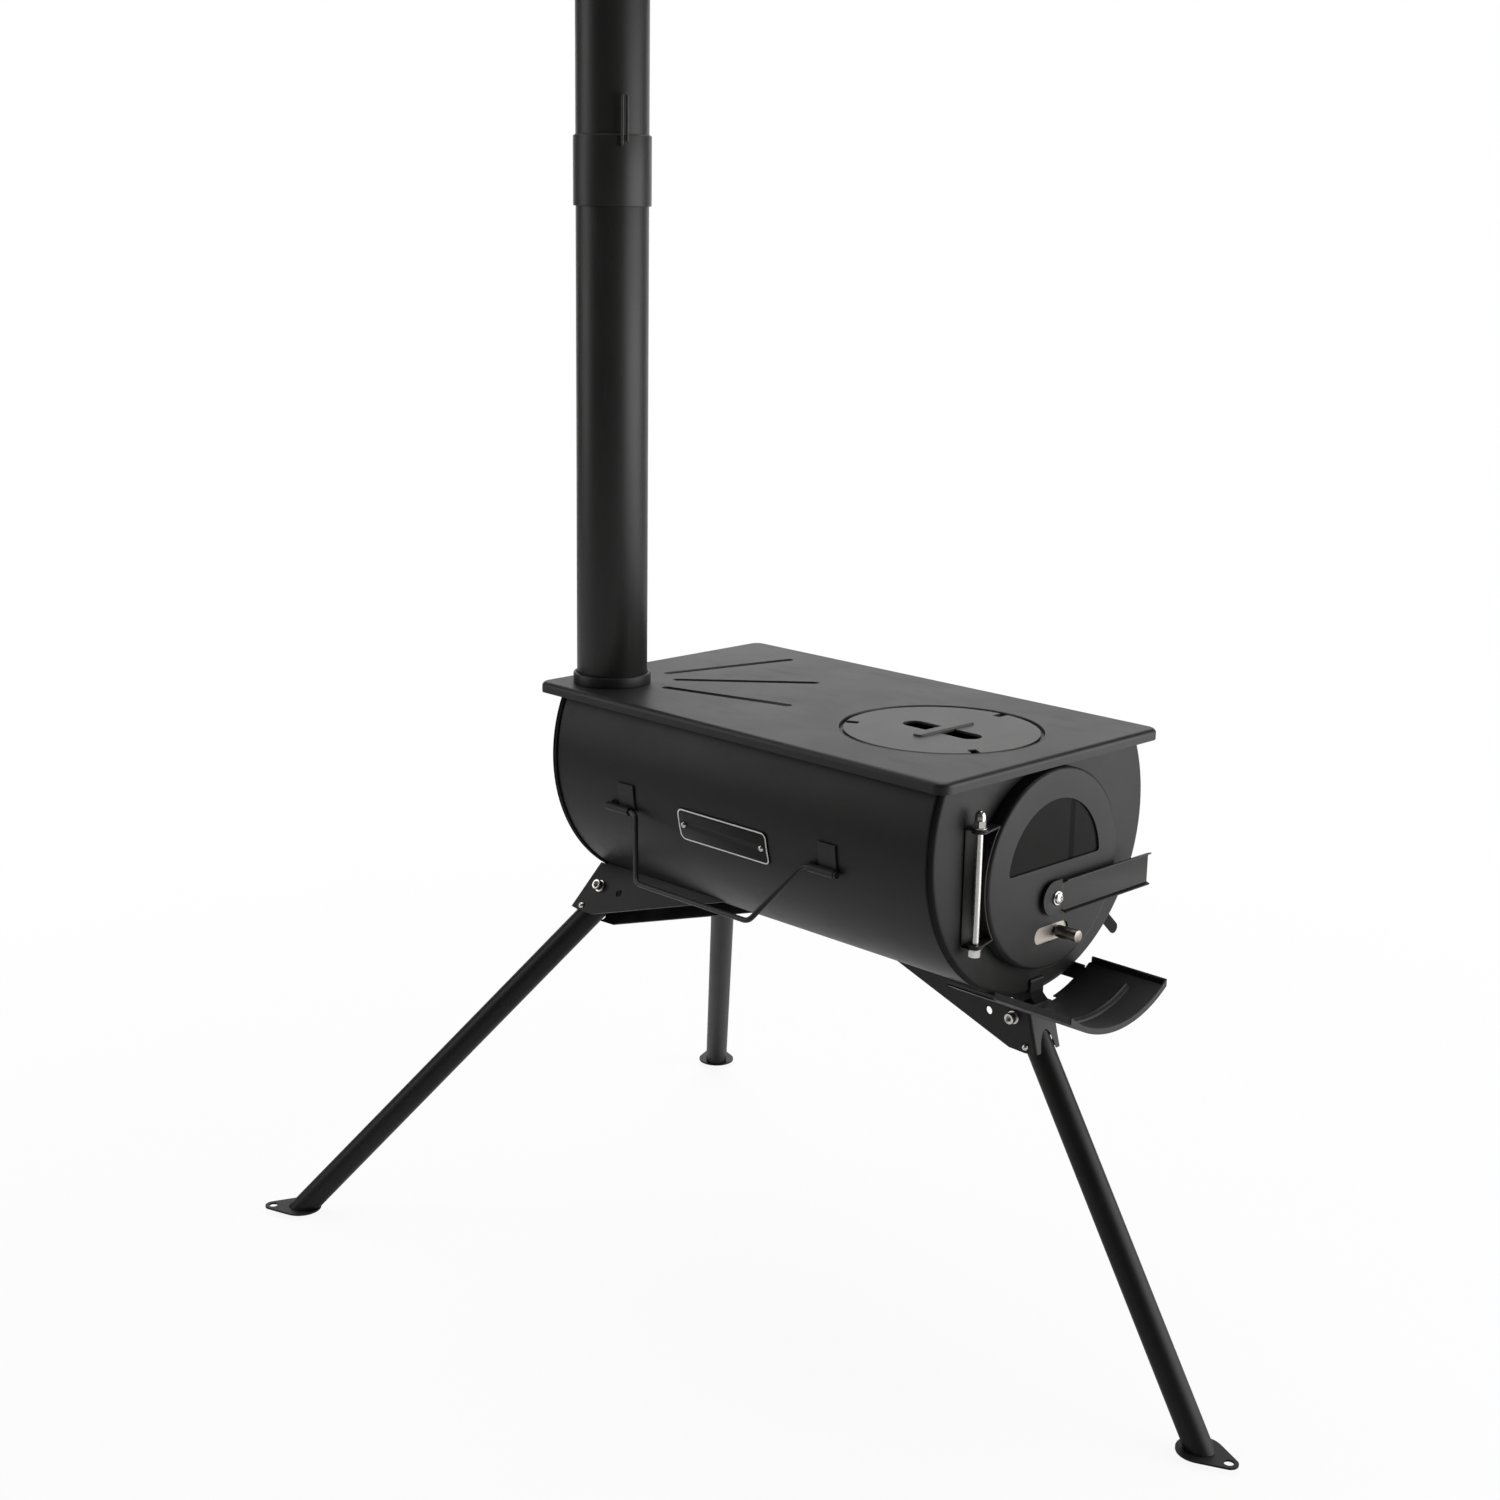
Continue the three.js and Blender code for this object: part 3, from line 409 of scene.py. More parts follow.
def stadium(x0, y0, x1, y1, radius, steps=12):
    """The outline of a slot with round ends."""
    lean = math.degrees(math.atan2(y1 - y0, x1 - x0))
    return arc(x1, y1, radius, lean - 90, lean + 90, steps) + arc(x0, y0, radius, lean + 90,
                                                                  lean + 270, steps)


def blank(name, outlines, thick, place, turn=(0, 0, 0), edge=0.0003, smooth=30):
    """A blank cut from flat sheet: an outline with any holes, given its thickness and broken edges."""
    curve = bpy.data.curves.new(name, "CURVE")
    curve.dimensions, curve.fill_mode, curve.extrude = "2D", "BOTH", thick / 2
    for line in outlines:
        run = curve.splines.new("POLY")
        run.points.add(len(line) - 1)
        for point, (x, y) in zip(run.points, line):
            point.co = (x, y, 0, 1)
        run.use_cyclic_u = True
    drawn = bpy.data.objects.new(name, curve)
    bpy.context.collection.objects.link(drawn)
    pick(drawn)
    bpy.ops.object.convert(target="MESH")
    made = bpy.context.object
    bpy.ops.object.mode_set(mode="EDIT")
    bpy.ops.mesh.select_all(action="SELECT")
    bpy.ops.mesh.remove_doubles(threshold=1e-6)
    bpy.ops.mesh.dissolve_limited(angle_limit=math.radians(1))
    bpy.ops.mesh.normals_make_consistent(inside=False)
    bpy.ops.object.mode_set(mode="OBJECT")
    made.rotation_euler = [math.radians(a) for a in turn]
    made.location = place
    settle(made, name, smooth)
    return crisp(made, edge, smooth) if edge else made


rim = []
for middle in (0, 120, 240):
    deep = math.degrees(0.004 / 0.0765)
    shallow = math.degrees(0.004 / 0.0885)
    rim += [(0.0765 * math.cos(math.radians(middle + a)),
             0.0765 * math.sin(math.radians(middle + a))) for a in (-deep, deep)]
    rim += arc(0, 0, 0.0885, middle + shallow, middle + 120 - shallow, 40)
lid = blank("cook_lid_disc", [rim, stadium(-0.002, -0.034, -0.002, 0.030, 0.011)], lid_thick,
            (lid_x, lid_y, lid_top - lid_thick / 2), edge=0.0005)
bridge = block("lid_bridge", (lid_x - 0.0386, lid_y - 0.0081, lid_top - 0.0027),
               (lid_x + 0.0386, lid_y + 0.0031, lid_top + 0.0020))
bevel_edges(bridge, lambda a, b: abs(a.z - b.z) > 0.001, 0.0054, 8)
crisp(bridge, 0.0014, segments=4)
lid_paint = stove_black("lid_black", tone=0.042, rough=0.46, specular=0.62, grain=0.14,
                        streak=(0.4, 1, 1))
ready(lid, lid_paint, "lid", "cook_lid")
ready(bridge, lid_paint, "lid")


# ---------------------------------------------------------------- flue
# Thin rolled pipe in two lengths. The lower one stands in a collar on the plate, and the upper one
# slips over it with a wider sleeve, in which a damper disc turns on a bent wire handle.
pipe = 0.034
pipe_wall = 0.001
damper_z = 1.090
flue_paint = stove_black("flue_black", tone=0.019, rough=0.42, specular=0.40, grain=0.1,
                         streak=(1, 1, 0.12))
collar = turned("flue_collar_ring", [(0.0285, 0.5858), (0.0300, 0.5858), (0.0300, 0.5873),
                                     (0.0375, 0.5873), (0.0376, 0.5880),
                                     (0.0376, 0.5956), (0.0372, 0.5967), (0.0362, 0.5972),
                                     (0.0350, 0.5973), (0.0344, 0.5968),
                                     (0.0343, 0.5960), (0.0343, 0.5888), (0.0285, 0.5888),
                                     (0.0285, 0.5858)],
                (flue_x, flue_y, 0), "Z", 96)
ready(collar, top_paint, "firebox", "flue_collar")
lower = turned("flue_lower_length", [(0.0330, 0.5892), (0.0338, 0.5891), (pipe, 0.5896),
                                     (pipe, 1.0794), (0.0338, 1.08),
                                     (0.0332, 1.08), (0.0330, 1.0796), (0.0330, 0.5892)],
               (flue_x, flue_y, 0), "Z", 96)
ready(lower, flue_paint, "flue_low", "lower_flue")
upper = turned("flue_upper_length", [
    (0.0343, 1.0362), (0.0346, 1.0360), (0.0357, 1.0360), (0.0362, 1.0363), (0.0363, 1.0369),
                                     (0.0363, 1.0978),
    (0.0361, 1.0985), (0.0356, 1.0989), (0.0346, 1.0992), (0.0341, 1.0996), (pipe, 1.1004),
                                     (pipe, 1.5356), (0.0338, 1.536),
    (0.0332, 1.536), (0.0330, 1.5357), (0.0330, 1.0806), (0.0343, 1.0806), (0.0343, 1.0362)],
               (flue_x, flue_y, 0), "Z", 96)
ready(upper, flue_paint, "flue_high", "upper_flue")


# ---------------------------------------------------------------- damper
# A round plate on a bent wire spindle inside the flue joint. The wire comes out through the sleeve
# and is folded up into a flat loop, which is the handle and shows which way the plate stands.
wire_x, loop_x = 0.0013, 0.0393
spin = math.radians(242)
damper_steel = stove_black("damper_black", tone=0.035, rough=0.42, specular=0.4, grain=0.05)


def strand(name, points, radius, ease=0.0, knuckle=8, sides=16):
    """Round wire along straight runs, each corner eased into a bend."""
    points = [Vector(p) for p in points]
    line = [points[0]]
    for before, turn, after in zip(points, points[1:], points[2:]):
        start, stop = turn + (before - turn).normalized() * ease, turn + (after - turn).normalized() * ease
        line += [start * (1 - t) ** 2 + turn * 2 * t * (1 - t) + stop * t ** 2 for t in (k / knuckle for k in range(knuckle + 1))]
    line.append(points[-1])
    curve = bpy.data.curves.new(name, "CURVE")
    curve.dimensions, curve.bevel_depth, curve.bevel_resolution, curve.use_fill_caps = "3D", radius, sides // 4, True
    run = curve.splines.new("POLY")
    run.points.add(len(line) - 1)
    for point, place in zip(run.points, line):
        point.co = (*place, 1)
    made = bpy.data.objects.new(name, curve)
    bpy.context.collection.objects.link(made)
    pick(made)
    bpy.ops.object.convert(target="MESH")
    return bpy.context.object


handle = strand("damper_handle", [(-0.0403, 0, 0), (loop_x, 0, 0), (loop_x, 0, 0.044),
                                  (loop_x, 0.0046, 0.044),
                                  (loop_x, 0.0046, 0.003)], wire_x, 0.0022)
handle.rotation_euler = (0, 0, spin)
handle.location = (flue_x, flue_y, damper_z)
settle(handle, "damper_handle", 40)
ready(handle, damper_steel, "damper", "damper_wire")
disc = turned("damper_plate", [(0, -0.0007), (0.0312, -0.0007), (0.0315, -0.0004), (0.0315, 0.0004),
                               (0.0312, 0.0007), (0, 0.0007)],
              (0, 0, 0), "Y", 96)
hub = turned("damper_hub", [(0, -0.0275), (0.0031, -0.0275), (0.0031, 0.0275), (0, 0.0275)],
             (0, 0, 0), "X", 32)
combine(disc, "UNION", hub)
disc.rotation_euler = (0, 0, spin)
disc.location = (flue_x, flue_y, damper_z)
settle(disc, "damper_plate")
ready(disc, damper_steel, "damper", "damper_disc")


# ---------------------------------------------------------------- door
# A shallow pan pressed from sheet, dished towards the fire so that it closes over the ring. A half
# round window is cut in its upper half, with a smoked glass pane clamped behind it by a barred strip.
door_radius = 0.0905
door_face = front - 0.002
window = 0.0635
window_base = 0.4895 - door_z

door = turned("door_pan", [(0, 0), (0.0868, 0), (0.0882, 0.0002), (0.0894, 0.0008),
                           (0.0902, 0.0017), (door_radius, 0.0031),
                           (door_radius, 0.0141), (0.0903, 0.0144), (0.0893, 0.0144),
                           (0.0890, 0.0141), (0.0890, 0.0032),
                           (0.0884, 0.0020), (0.0873, 0.0015), (0, 0.0015)], (0, door_face, door_z),
              sides=160)
lift = math.degrees(math.asin((window_base + 0.003) / (window - 0.003)))
corner = (window - 0.003) * math.cos(math.radians(lift))
half_round = (arc(corner, window_base + 0.003, 0.003, -90, lift, 6) + arc(0, 0, window, lift,
                                                                          180 - lift, 64)[1:-1]
              + arc(-corner, window_base + 0.003, 0.003, 180 - lift, 270, 6))
window_cut = blank("cutter", [half_round], 0.03, (0, door_face, door_z), (90, 0, 0), 0)
vent_cut = blank("cutter", [stadium(-0.0156, 0, 0.0156, 0, 0.008)], 0.03, (0, door_face, 0.427),
                 (90, 0, 0), 0)
bolt_cut = drill(bolt_bore, -0.02, 0.02, (0, door_face, 0.460), sides=24)
combine(door, "DIFFERENCE", window_cut, vent_cut, bolt_cut)
settle(door, "door_pan", 35)
door_paint = stove_black("door_black", tone=0.014, streak=(0.3, 1, 1))
ready(door, door_paint, "door", "door_shell")

smoke = Shop("smoked_glass", IOR=1.5, Specular_IOR_Level=0.05)
soot = smoke.noise(16.0, 5.0)
haze = smoke.noise(50.0, 3.0, (1, 1, 0.4))
spot = smoke.node("ShaderNodeSeparateXYZ", inputs={0: smoke.place})
bar = spot.sum("ABSOLUTE", spot - 0.0245).above(0.0034, 0.0004)
film = smoke.mix(soot, (0.008, 0.0078, 0.0076), (0.015, 0.0145, 0.014))
smoke.set(Roughness=soot * 0.1 + 0.14 + haze.above(0.6, 0.2) * 0.06,
          Base_Color=smoke.mix(bar, (0.0005, 0.0005, 0.0005), film))
pane = blank("door_glass_pane", [arc(0, 0, 0.068, 0, 180, 80)], 0.004,
             (0, door_face + 0.0038, door_z), (90, 0, 0), 0.0003)
ready(pane, smoke.material, "door", "door_glass", slot="ceramic_glass")
strip = [(-0.058, -0.006), (0.058, -0.006), (0.058, 0.003), (0.0271, 0.003), (0.0271, 0.060),
         (0.0219, 0.060),
         (0.0219, 0.003), (-0.058, 0.003)]
clamp = blank("glass_clamp_strip", [strip], sheet, (0, door_face + 0.00685, door_z), (90, 0, 0),
              0.0002)
ready(clamp, door_paint, "door", "glass_clamp")


# ---------------------------------------------------------------- door hinge
# Folded sheet ears: two on a strap welded round the door rim, two on a bracket welded to the end
# plate. A stainless rod drops through all four, with a cap nut on top and a nut and washer below.
hinge_x, hinge_y = -0.100, front + 0.002
ear_high, ear_low = 0.5375, 0.438
steel_shop = Shop("stainless", Base_Color=(0.74, 0.72, 0.69, 1), Metallic=1.0)
turning = steel_shop.noise(420.0, 3.0, (1, 1, 0.06))
marks = steel_shop.noise(90.0, 3.0)
steel_shop.set(Roughness=turning * 0.14 + marks * 0.12 + 0.12,
               Normal=steel_shop.bump(turning, 0.05, 0.0001))
stainless = steel_shop.material
hinge_paint = stove_black("hinge_black", tone=0.018, streak=(1, 1, 0.3))

tall = ear_high - ear_low + 0.0036 + sheet
bent = [(-0.009, 0), (-0.009, sheet), (0.0085, sheet)] + arc(0.0082, sheet + 0.0012, 0.0012, -90, 0,
                                                             5) \
    + arc(0.0082, tall - sheet - 0.0012, 0.0012, 0, 90, 5) + [(-0.009, tall - sheet),
                                                              (-0.009, tall)] \
    + arc(0.0082, tall - 0.0025, 0.0025, 90, 0, 6) + arc(0.0082, 0.0025, 0.0025, 0, -90, 6)
bracket = blank("hinge_fold", [bent], 0.014, (hinge_x, hinge_y, ear_low - 0.0018 - sheet / 2),
                (90, 0, 90), 0)
plan = blank("cutter", [arc(0, 0, 0.007, 180, 360, 24) + [(0.007, 0.012), (-0.007, 0.012)]], 0.2,
             (hinge_x, hinge_y, 0.49), (0, 0, 0), 0)
combine(bracket, "INTERSECT", plan)
rod_hole = drill(bolt_bore, 0.40, 0.58, (hinge_x, hinge_y, 0), "Z", 32)
combine(bracket, "DIFFERENCE", rod_hole)
crisp(bracket, 0.00025)
ready(bracket, hinge_paint, "firebox", "hinge_bracket")

reach = 0.0908
high_turn = 180 - math.degrees(math.asin((ear_high - door_z + 0.0007) / (reach + sheet)))
low_turn = 180 + math.degrees(math.asin((door_z - ear_low + 0.0007) / (reach + sheet)))
band = arc(0, 0, reach + sheet, high_turn, low_turn, 48) + arc(0, 0, reach, low_turn, high_turn, 48)
strap = blank("hinge_band", [band], 0.010, (0, front + 0.0055, door_z), (90, 0, 0), 0)
for level in (ear_high, ear_low):
    wall = -math.sqrt(reach ** 2 - (abs(level - door_z) - sheet / 2) ** 2) - 0.0003 - hinge_x
    leaf = blank("ear", [arc(0, 0, 0.007, 90, 270, 24) + [(wall, -0.0015), (wall, 0.0085)]], sheet,
                 (hinge_x, hinge_y, level), (0, 0, 0), 0)
    combine(strap, "UNION", leaf)
rod_hole = drill(bolt_bore, 0.40, 0.58, (hinge_x, hinge_y, 0), "Z", 32)
combine(strap, "DIFFERENCE", rod_hole)
crisp(strap, 0.00025)
ready(strap, hinge_paint, "door", "hinge_strap")

rod = turned("hinge_pin", [(0, 0.4272), (0.0026, 0.4272), (0.0030, 0.4277), (0.0030, 0.5489),
                           (0.0026, 0.5494), (0, 0.5494)],
             (hinge_x, hinge_y, 0), "Z", 40)
ready(rod, stainless, "firebox", "hinge_rod", slot="stainless")


def nut(name, radius, low, high, place, hole=0.0):
    """A hexagon of bar with both faces turned down at the corners."""
    bpy.ops.object.select_all(action="DESELECT")
    bpy.ops.mesh.primitive_cylinder_add(vertices=6, radius=radius, depth=high - low,
                                        location=(0, 0, (low + high) / 2))
    body = settle(bpy.context.object, name)
    flat = radius * 0.9
    form = turned("cutter", [(0, low), (flat, low), (radius + 0.0002, low + 0.0007),
                             (radius + 0.0002, high - 0.0007), (flat, high), (0, high)],
                  (0, 0, 0), "Z", 48)
    combine(body, "INTERSECT", form)
    body.location = place
    return settle(body, name)


acorn = nut("cap_nut", 0.0057, 0.5413, 0.5475, (hinge_x, hinge_y, 0))
dome = turned("dome", [(0, 0.5468), (0.0045, 0.5468), (0.0046, 0.5500), (0.0044, 0.5520),
                       (0.0038, 0.5537), (0.0029, 0.5550),
                       (0.0017, 0.5559), (0.0006, 0.5562), (0, 0.5562)], (hinge_x, hinge_y, 0), "Z",
              40)
washer = turned("washer", [(0.0031, 0.54035), (0.0058, 0.54035), (0.0060, 0.5406), (0.0060, 0.5411),
                           (0.0058, 0.54135),
                           (0.0031, 0.54135), (0.0031, 0.54035)], (hinge_x, hinge_y, 0), "Z", 40)
combine(acorn, "UNION", dome)
combine(acorn, "DIFFERENCE", drill(bolt_bore, 0.53, 0.5497, (hinge_x, hinge_y, 0), "Z", 32))
crisp(acorn, 0.0002)
ready(acorn, stainless, "firebox", "hinge_cap_nut", slot="stainless")
ready(washer, stainless, "firebox", slot="stainless")
under = nut("lower_nut", 0.0057, 0.42795, 0.4339, (hinge_x, hinge_y, 0))
combine(under, "DIFFERENCE", drill(bolt_bore, 0.42, 0.45, (hinge_x, hinge_y, 0), "Z", 32))
crisp(under, 0.0002)
ready(under, stainless, "firebox", "hinge_lower_nut", slot="stainless")
ready(turned("lower_washer", [(0.0032, 0.43415), (0.0058, 0.43415), (0.0060, 0.4344),
                              (0.0060, 0.4349), (0.0058, 0.43515),
                              (0.0032, 0.43515), (0.0032, 0.43415)], (hinge_x, hinge_y, 0), "Z",
             40),
      stainless, "firebox", slot="stainless")


# ---------------------------------------------------------------- latch
# The lever is a strip folded into a shallow channel with its lips turned out, left flat and round
# where it turns on its bolt. Behind the door a steel cam on the same bolt catches the ring.
latch_z = 0.460
lever_back = door_face - 0.003
side = [(lever_back, 0.0139), (lever_back - 0.0046, 0.0153), (lever_back - 0.0051, 0.0140),
        (lever_back - 0.0017, 0.0129),
        (lever_back - 0.0015, 0.0122), (lever_back - 0.0015, -0.0122),
        (lever_back - 0.0017, -0.0129),
        (lever_back - 0.0051, -0.0140), (lever_back - 0.0046, -0.0153), (lever_back, -0.0139)]
lever = blank("latch_channel", [[(y, latch_z + z) for y, z in side]], 0.124, (0.071, 0, 0),
              (90, 0, 90), 0)
tongue = blank("tongue", [arc(-0.003, 0, 0.016, 90, 270, 40) + [(0.007, -0.016), (0.007, -0.0120),
                                                                (0.0105, -0.0120),
                                                                 (0.0105, 0.0120), (0.007, 0.0120),
                                                                (0.007, 0.016)]],
               sheet, (0, lever_back - sheet / 2, latch_z), (90, 0, 0), 0)
combine(lever, "UNION", tongue)
combine(lever, "DIFFERENCE", drill(bolt_bore, -0.05, 0.05, (0, front, latch_z), sides=32))
crisp(lever, 0.0003)
ready(lever, door_paint, "latch", "latch_lever")
bolt_at = lever_back - 0.0018
bolt = turned("latch_bolt_head", [
    (0, bolt_at - 0.0022), (0.0023, bolt_at - 0.0024), (0.0026, bolt_at - 0.0034),
                                  (0.0034, bolt_at - 0.0033),
    (0.0045, bolt_at - 0.0025), (0.0049, bolt_at - 0.0015), (0.0050, bolt_at - 0.0010),
                                  (0.0060, bolt_at - 0.0010),
    (0.0063, bolt_at - 0.0008), (0.0063, bolt_at), (0.0030, bolt_at), (0.0030, lever_back + gap),
                                  (0.0060, lever_back + gap),
    (0.0060, door_face - gap), (0.0030, door_face - gap), (0.0030, door_face + 0.0018),
                                  (0.0050, door_face + 0.0018),
    (0.0050, door_face + 0.0079), (0.0030, door_face + 0.0079), (0.0030, door_face + 0.0105),
                                  (0.0052, door_face + 0.0105),
    (0.0052, door_face + 0.0142), (0, door_face + 0.0142)], (0, 0, latch_z), sides=48)
ready(bolt, stainless, "latch", "latch_bolt", slot="stainless")

worn = Shop("bare_mild_steel", Metallic=0.9)
brushing = worn.noise(700.0, 3.0, (0.05, 1, 1))
stain = worn.noise(45.0, 4.0)
bare_steel = worn.set(Base_Color=worn.mix(stain, (0.36, 0.325, 0.29), (0.56, 0.52, 0.475)),
                      Roughness=brushing * 0.2 + stain * 0.15 + 0.28,
                      Normal=worn.bump(brushing, 0.12, 0.0001))
cam = blank("latch_cam_bar", [stadium(0, 0, 0.036, 0, 0.007)], 0.002,
            (0, door_face + 0.0092, latch_z), (90, 0, 0), 0.0002)
combine(cam, "DIFFERENCE", drill(bolt_bore, -0.05, 0.05, (0, front, latch_z), sides=32))
settle(cam, "latch_cam_bar")
ready(cam, bare_steel, "latch", "latch_cam", slot="bare_steel")


# ---------------------------------------------------------------- air vent
# A bare steel slide runs behind a long slot in the door, to let in more or less air. It is pushed by
# a turned steel knob riveted through it.
vent_z, knob_x = 0.427, 0.009
slide_y = door_face + sheet + gap


def rounded(width, height, radius):
    """The outline of a rectangle with rounded corners."""
    return [p for sx, sy, a in ((1, 1, 0), (-1, 1, 90), (-1, -1, 180), (1, -1, 270))
            for p in arc(sx * (width / 2 - radius), sy * (height / 2 - radius), radius, a, a + 90,
                         8)]


slide = blank("vent_slide", [rounded(0.0542, 0.020, 0.004)], 0.0012, (0, slide_y + 0.0006, vent_z),
              (90, 0, 0), 0.0002)
ready(slide, bare_steel, "vent", "vent_slider", slot="bare_steel")
knob_face = door_face - 0.0225
knob = turned("vent_knob_turned", [(0, knob_face), (0.0049, knob_face),
                                   (0.0054, knob_face + 0.0002), (0.0056, knob_face + 0.0007),
                                   (0.0056, door_face - 0.0007), (0.0054, door_face - 0.0005),
                                   (0.0030, door_face - 0.0005),
                                   (0.0030, slide_y - gap), (0, slide_y - gap)],
              (knob_x, 0, vent_z), sides=56)
dark = Shop("knob_steel", Metallic=1.0)
lathe = dark.noise(600.0, 2.0, (1, 0.04, 1))
tint = dark.noise(120.0, 3.0)
knob_steel = dark.set(Base_Color=dark.mix(tint, (0.24, 0.22, 0.20), (0.38, 0.355, 0.325)),
                      Roughness=lathe * 0.2 + 0.22,
                      Normal=dark.bump(lathe, 0.08, 0.0001))
ready(knob, knob_steel, "vent", "vent_knob", slot="bare_steel")


# ---------------------------------------------------------------- ash tray and its hook
# The tray is a curved shovel of thin sheet that slides out from under the door. Its edges are turned
# up, and beads are pressed in it. A bent steel hook on the end plate catches a notch in its back.
hook_z = 0.381
hook_line = [(0.017, hook_z - 0.00075), (0.017, hook_z + 0.00075)] + arc(0.0124, hook_z - 0.00125,
                                                                         0.002, 90, 180, 6) \
    + [(0.0104, 0.3666), (0.0044, 0.3612), (0.0054, 0.3601),
       (0.0119, 0.3660)] + arc(0.0129, hook_z - 0.00175, 0.001, 180, 90, 4)
hook = blank("tray_hook_fold", [[(front + y, z) for y, z in hook_line]], 0.018, (0, 0, 0),
             (90, 0, 90), 0.00025)
ready(hook, plate_paint, "firebox", "tray_hook")

tray_radius, tray_z, tray_sheet = 0.115, 0.4733, 0.0012
tray_half, tray_front, tray_rear = 0.069, front - 0.078, front + 0.0075
tray_side = [(tray_half, tray_front), (tray_half, tray_rear - 0.005),
             (tray_half - 0.002, tray_rear - 0.0025), (0.062, tray_rear - 0.0025),
             (0.062, front + 0.062), (0.050, front + 0.062), (0.050, tray_rear), (0.020, tray_rear),
             (0.020, tray_rear - 0.005),
             (0.011, tray_rear - 0.005), (0.011, tray_rear)]
shell = turned("ash_tray_sheet", [(tray_radius, tray_front - 0.01), (tray_radius, front + 0.07),
                                  (tray_radius - tray_sheet, front + 0.07),
                                  (tray_radius - tray_sheet, tray_front - 0.01),
                                  (tray_radius, tray_front - 0.01)], (0, 0, tray_z), sides=192)
whole = tray_side + [(-x, y) for x, y in reversed(tray_side)]
combine(shell, "INTERSECT", blank("plan", [whole], 0.06, (0, 0, 0.365), (0, 0, 0), 0))


def lip(low_x, high_x, low_y, high_y, height):
    """A length of turned-up edge, following the tray's curve."""
    ring = turned("lip", [(tray_radius - 0.0002, low_y), (tray_radius - 0.0002, high_y),
                          (tray_radius - height, high_y),
                          (tray_radius - height, low_y), (tray_radius - 0.0002, low_y)],
                  (0, 0, tray_z), sides=192)
    return combine(ring, "INTERSECT", block("span", (low_x, low_y - 0.01, 0.33),
                                            (high_x, high_y + 0.01, 0.42)))


edge = tray_half - 0.0013
edges = [lip(-tray_half, tray_half, tray_front, tray_front + tray_sheet, 0.0052),
         lip(edge, tray_half, tray_front, tray_rear - 0.005, 0.0052),
         lip(-tray_half, -edge, tray_front, tray_rear - 0.005, 0.0052),
         lip(0.0607, 0.062, tray_rear - 0.0025, front + 0.062, 0.0034),
         lip(-0.062, -0.0607, tray_rear - 0.0025, front + 0.062, 0.0034)]
combine(shell, "UNION", *edges)
inner = tray_radius - tray_sheet
bead = turned("bead", [(inner + 0.0003, front - 0.0484), (inner - 0.0010, front - 0.0479),
                       (inner - 0.0026, front - 0.0464),
                       (inner - 0.0034, front - 0.0440), (inner - 0.0026, front - 0.0416),
                       (inner - 0.0010, front - 0.0401),
                       (inner + 0.0003, front - 0.0396), (inner + 0.0003, front - 0.0484)],
              (0, 0, tray_z), sides=192)
combine(bead, "INTERSECT", block("span", (-0.056, front - 0.06, 0.33), (0.056, front - 0.03, 0.42)))
combine(shell, "UNION", bead)
for x in (-0.057, 0.057):
    deep = tray_z - math.sqrt((inner - 0.0003) ** 2 - x * x)
    rib = turned("rib", [(0, 0), (0.0014, 0.0004), (0.0027, 0.0016), (0.0034, 0.0032),
                         (0.0036, 0.0050), (0.0036, 0.0222), (0, 0.0232)],
                 (x, front - 0.0242, deep), "Y", 24)
    combine(rib, "INTERSECT", turned("span", [(0, -0.4), (tray_radius - 0.0003, -0.4),
                                              (tray_radius - 0.0003, 0), (0, 0)], (0, 0, tray_z),
                                     sides=128))
    combine(shell, "UNION", rib)
settle(shell, "ash_tray_sheet", 35)
crisp(shell, 0.0002, 35)
tray_paint = stove_black("tray_black", tone=0.014, rough=0.44, specular=0.45, grain=0.14,
                         streak=(0.3, 1, 1))
ready(shell, tray_paint, "tray", "ash_tray")


# ---------------------------------------------------------------- legs
# Each leg is a steel tube that folds in a channel bracket welded under the firebox. It turns on a
# socket-head bolt, locks with a sprung button in a second hole, and ends in a plate with a spike.
tube, tube_wall = 0.0125, 0.0015
half, plate2 = 0.0175, 0.002
button_out = 0.0282
slope, web_foot = 0.279, 0.01935
foot_low, foot_thick = 0.004, 0.002
leg_paint = stove_black("leg_black", tone=0.008, rough=0.45, specular=0.26, grain=0.14,
                        streak=(1, 1, 0.2))
bracket_paint = stove_black("bracket_black", tone=0.012, rough=0.48, specular=0.32, grain=0.12)
splay = math.radians(31.8)
rear_lean, rear_length, rear_top = 29.5, 0.4886, 0.042
fold_turn = 118
places = {
    "front": ((0, 0.0215, 0.3465), (-1, 0, 0), (0, -1, 0), (0, 0, 1), 31.6, 0.401, 1, 0.0115)}
for which, hand in (("rear_near", -1), ("rear_far", 1)):
    places[which] = ((hand * 0.0794, 0.4903, 0.3631), (math.cos(splay), 0, hand * math.sin(splay)),
                     (0, 1, 0),
                     (-hand * math.sin(splay), 0, math.cos(splay)), rear_lean, rear_length, hand,
                     rear_top)


def along_leg(lean, distance):
    """A point down the leg, in the leg's own upright frame."""
    return math.sin(math.radians(lean)) * distance, -math.cos(math.radians(lean)) * distance


def cross_pin(rings, out, up, face=1):
    """A turned part lying across the bracket."""
    return turned("pin", [(r, -face * h) for r, h in rings], (0, out, up), "X", 48)


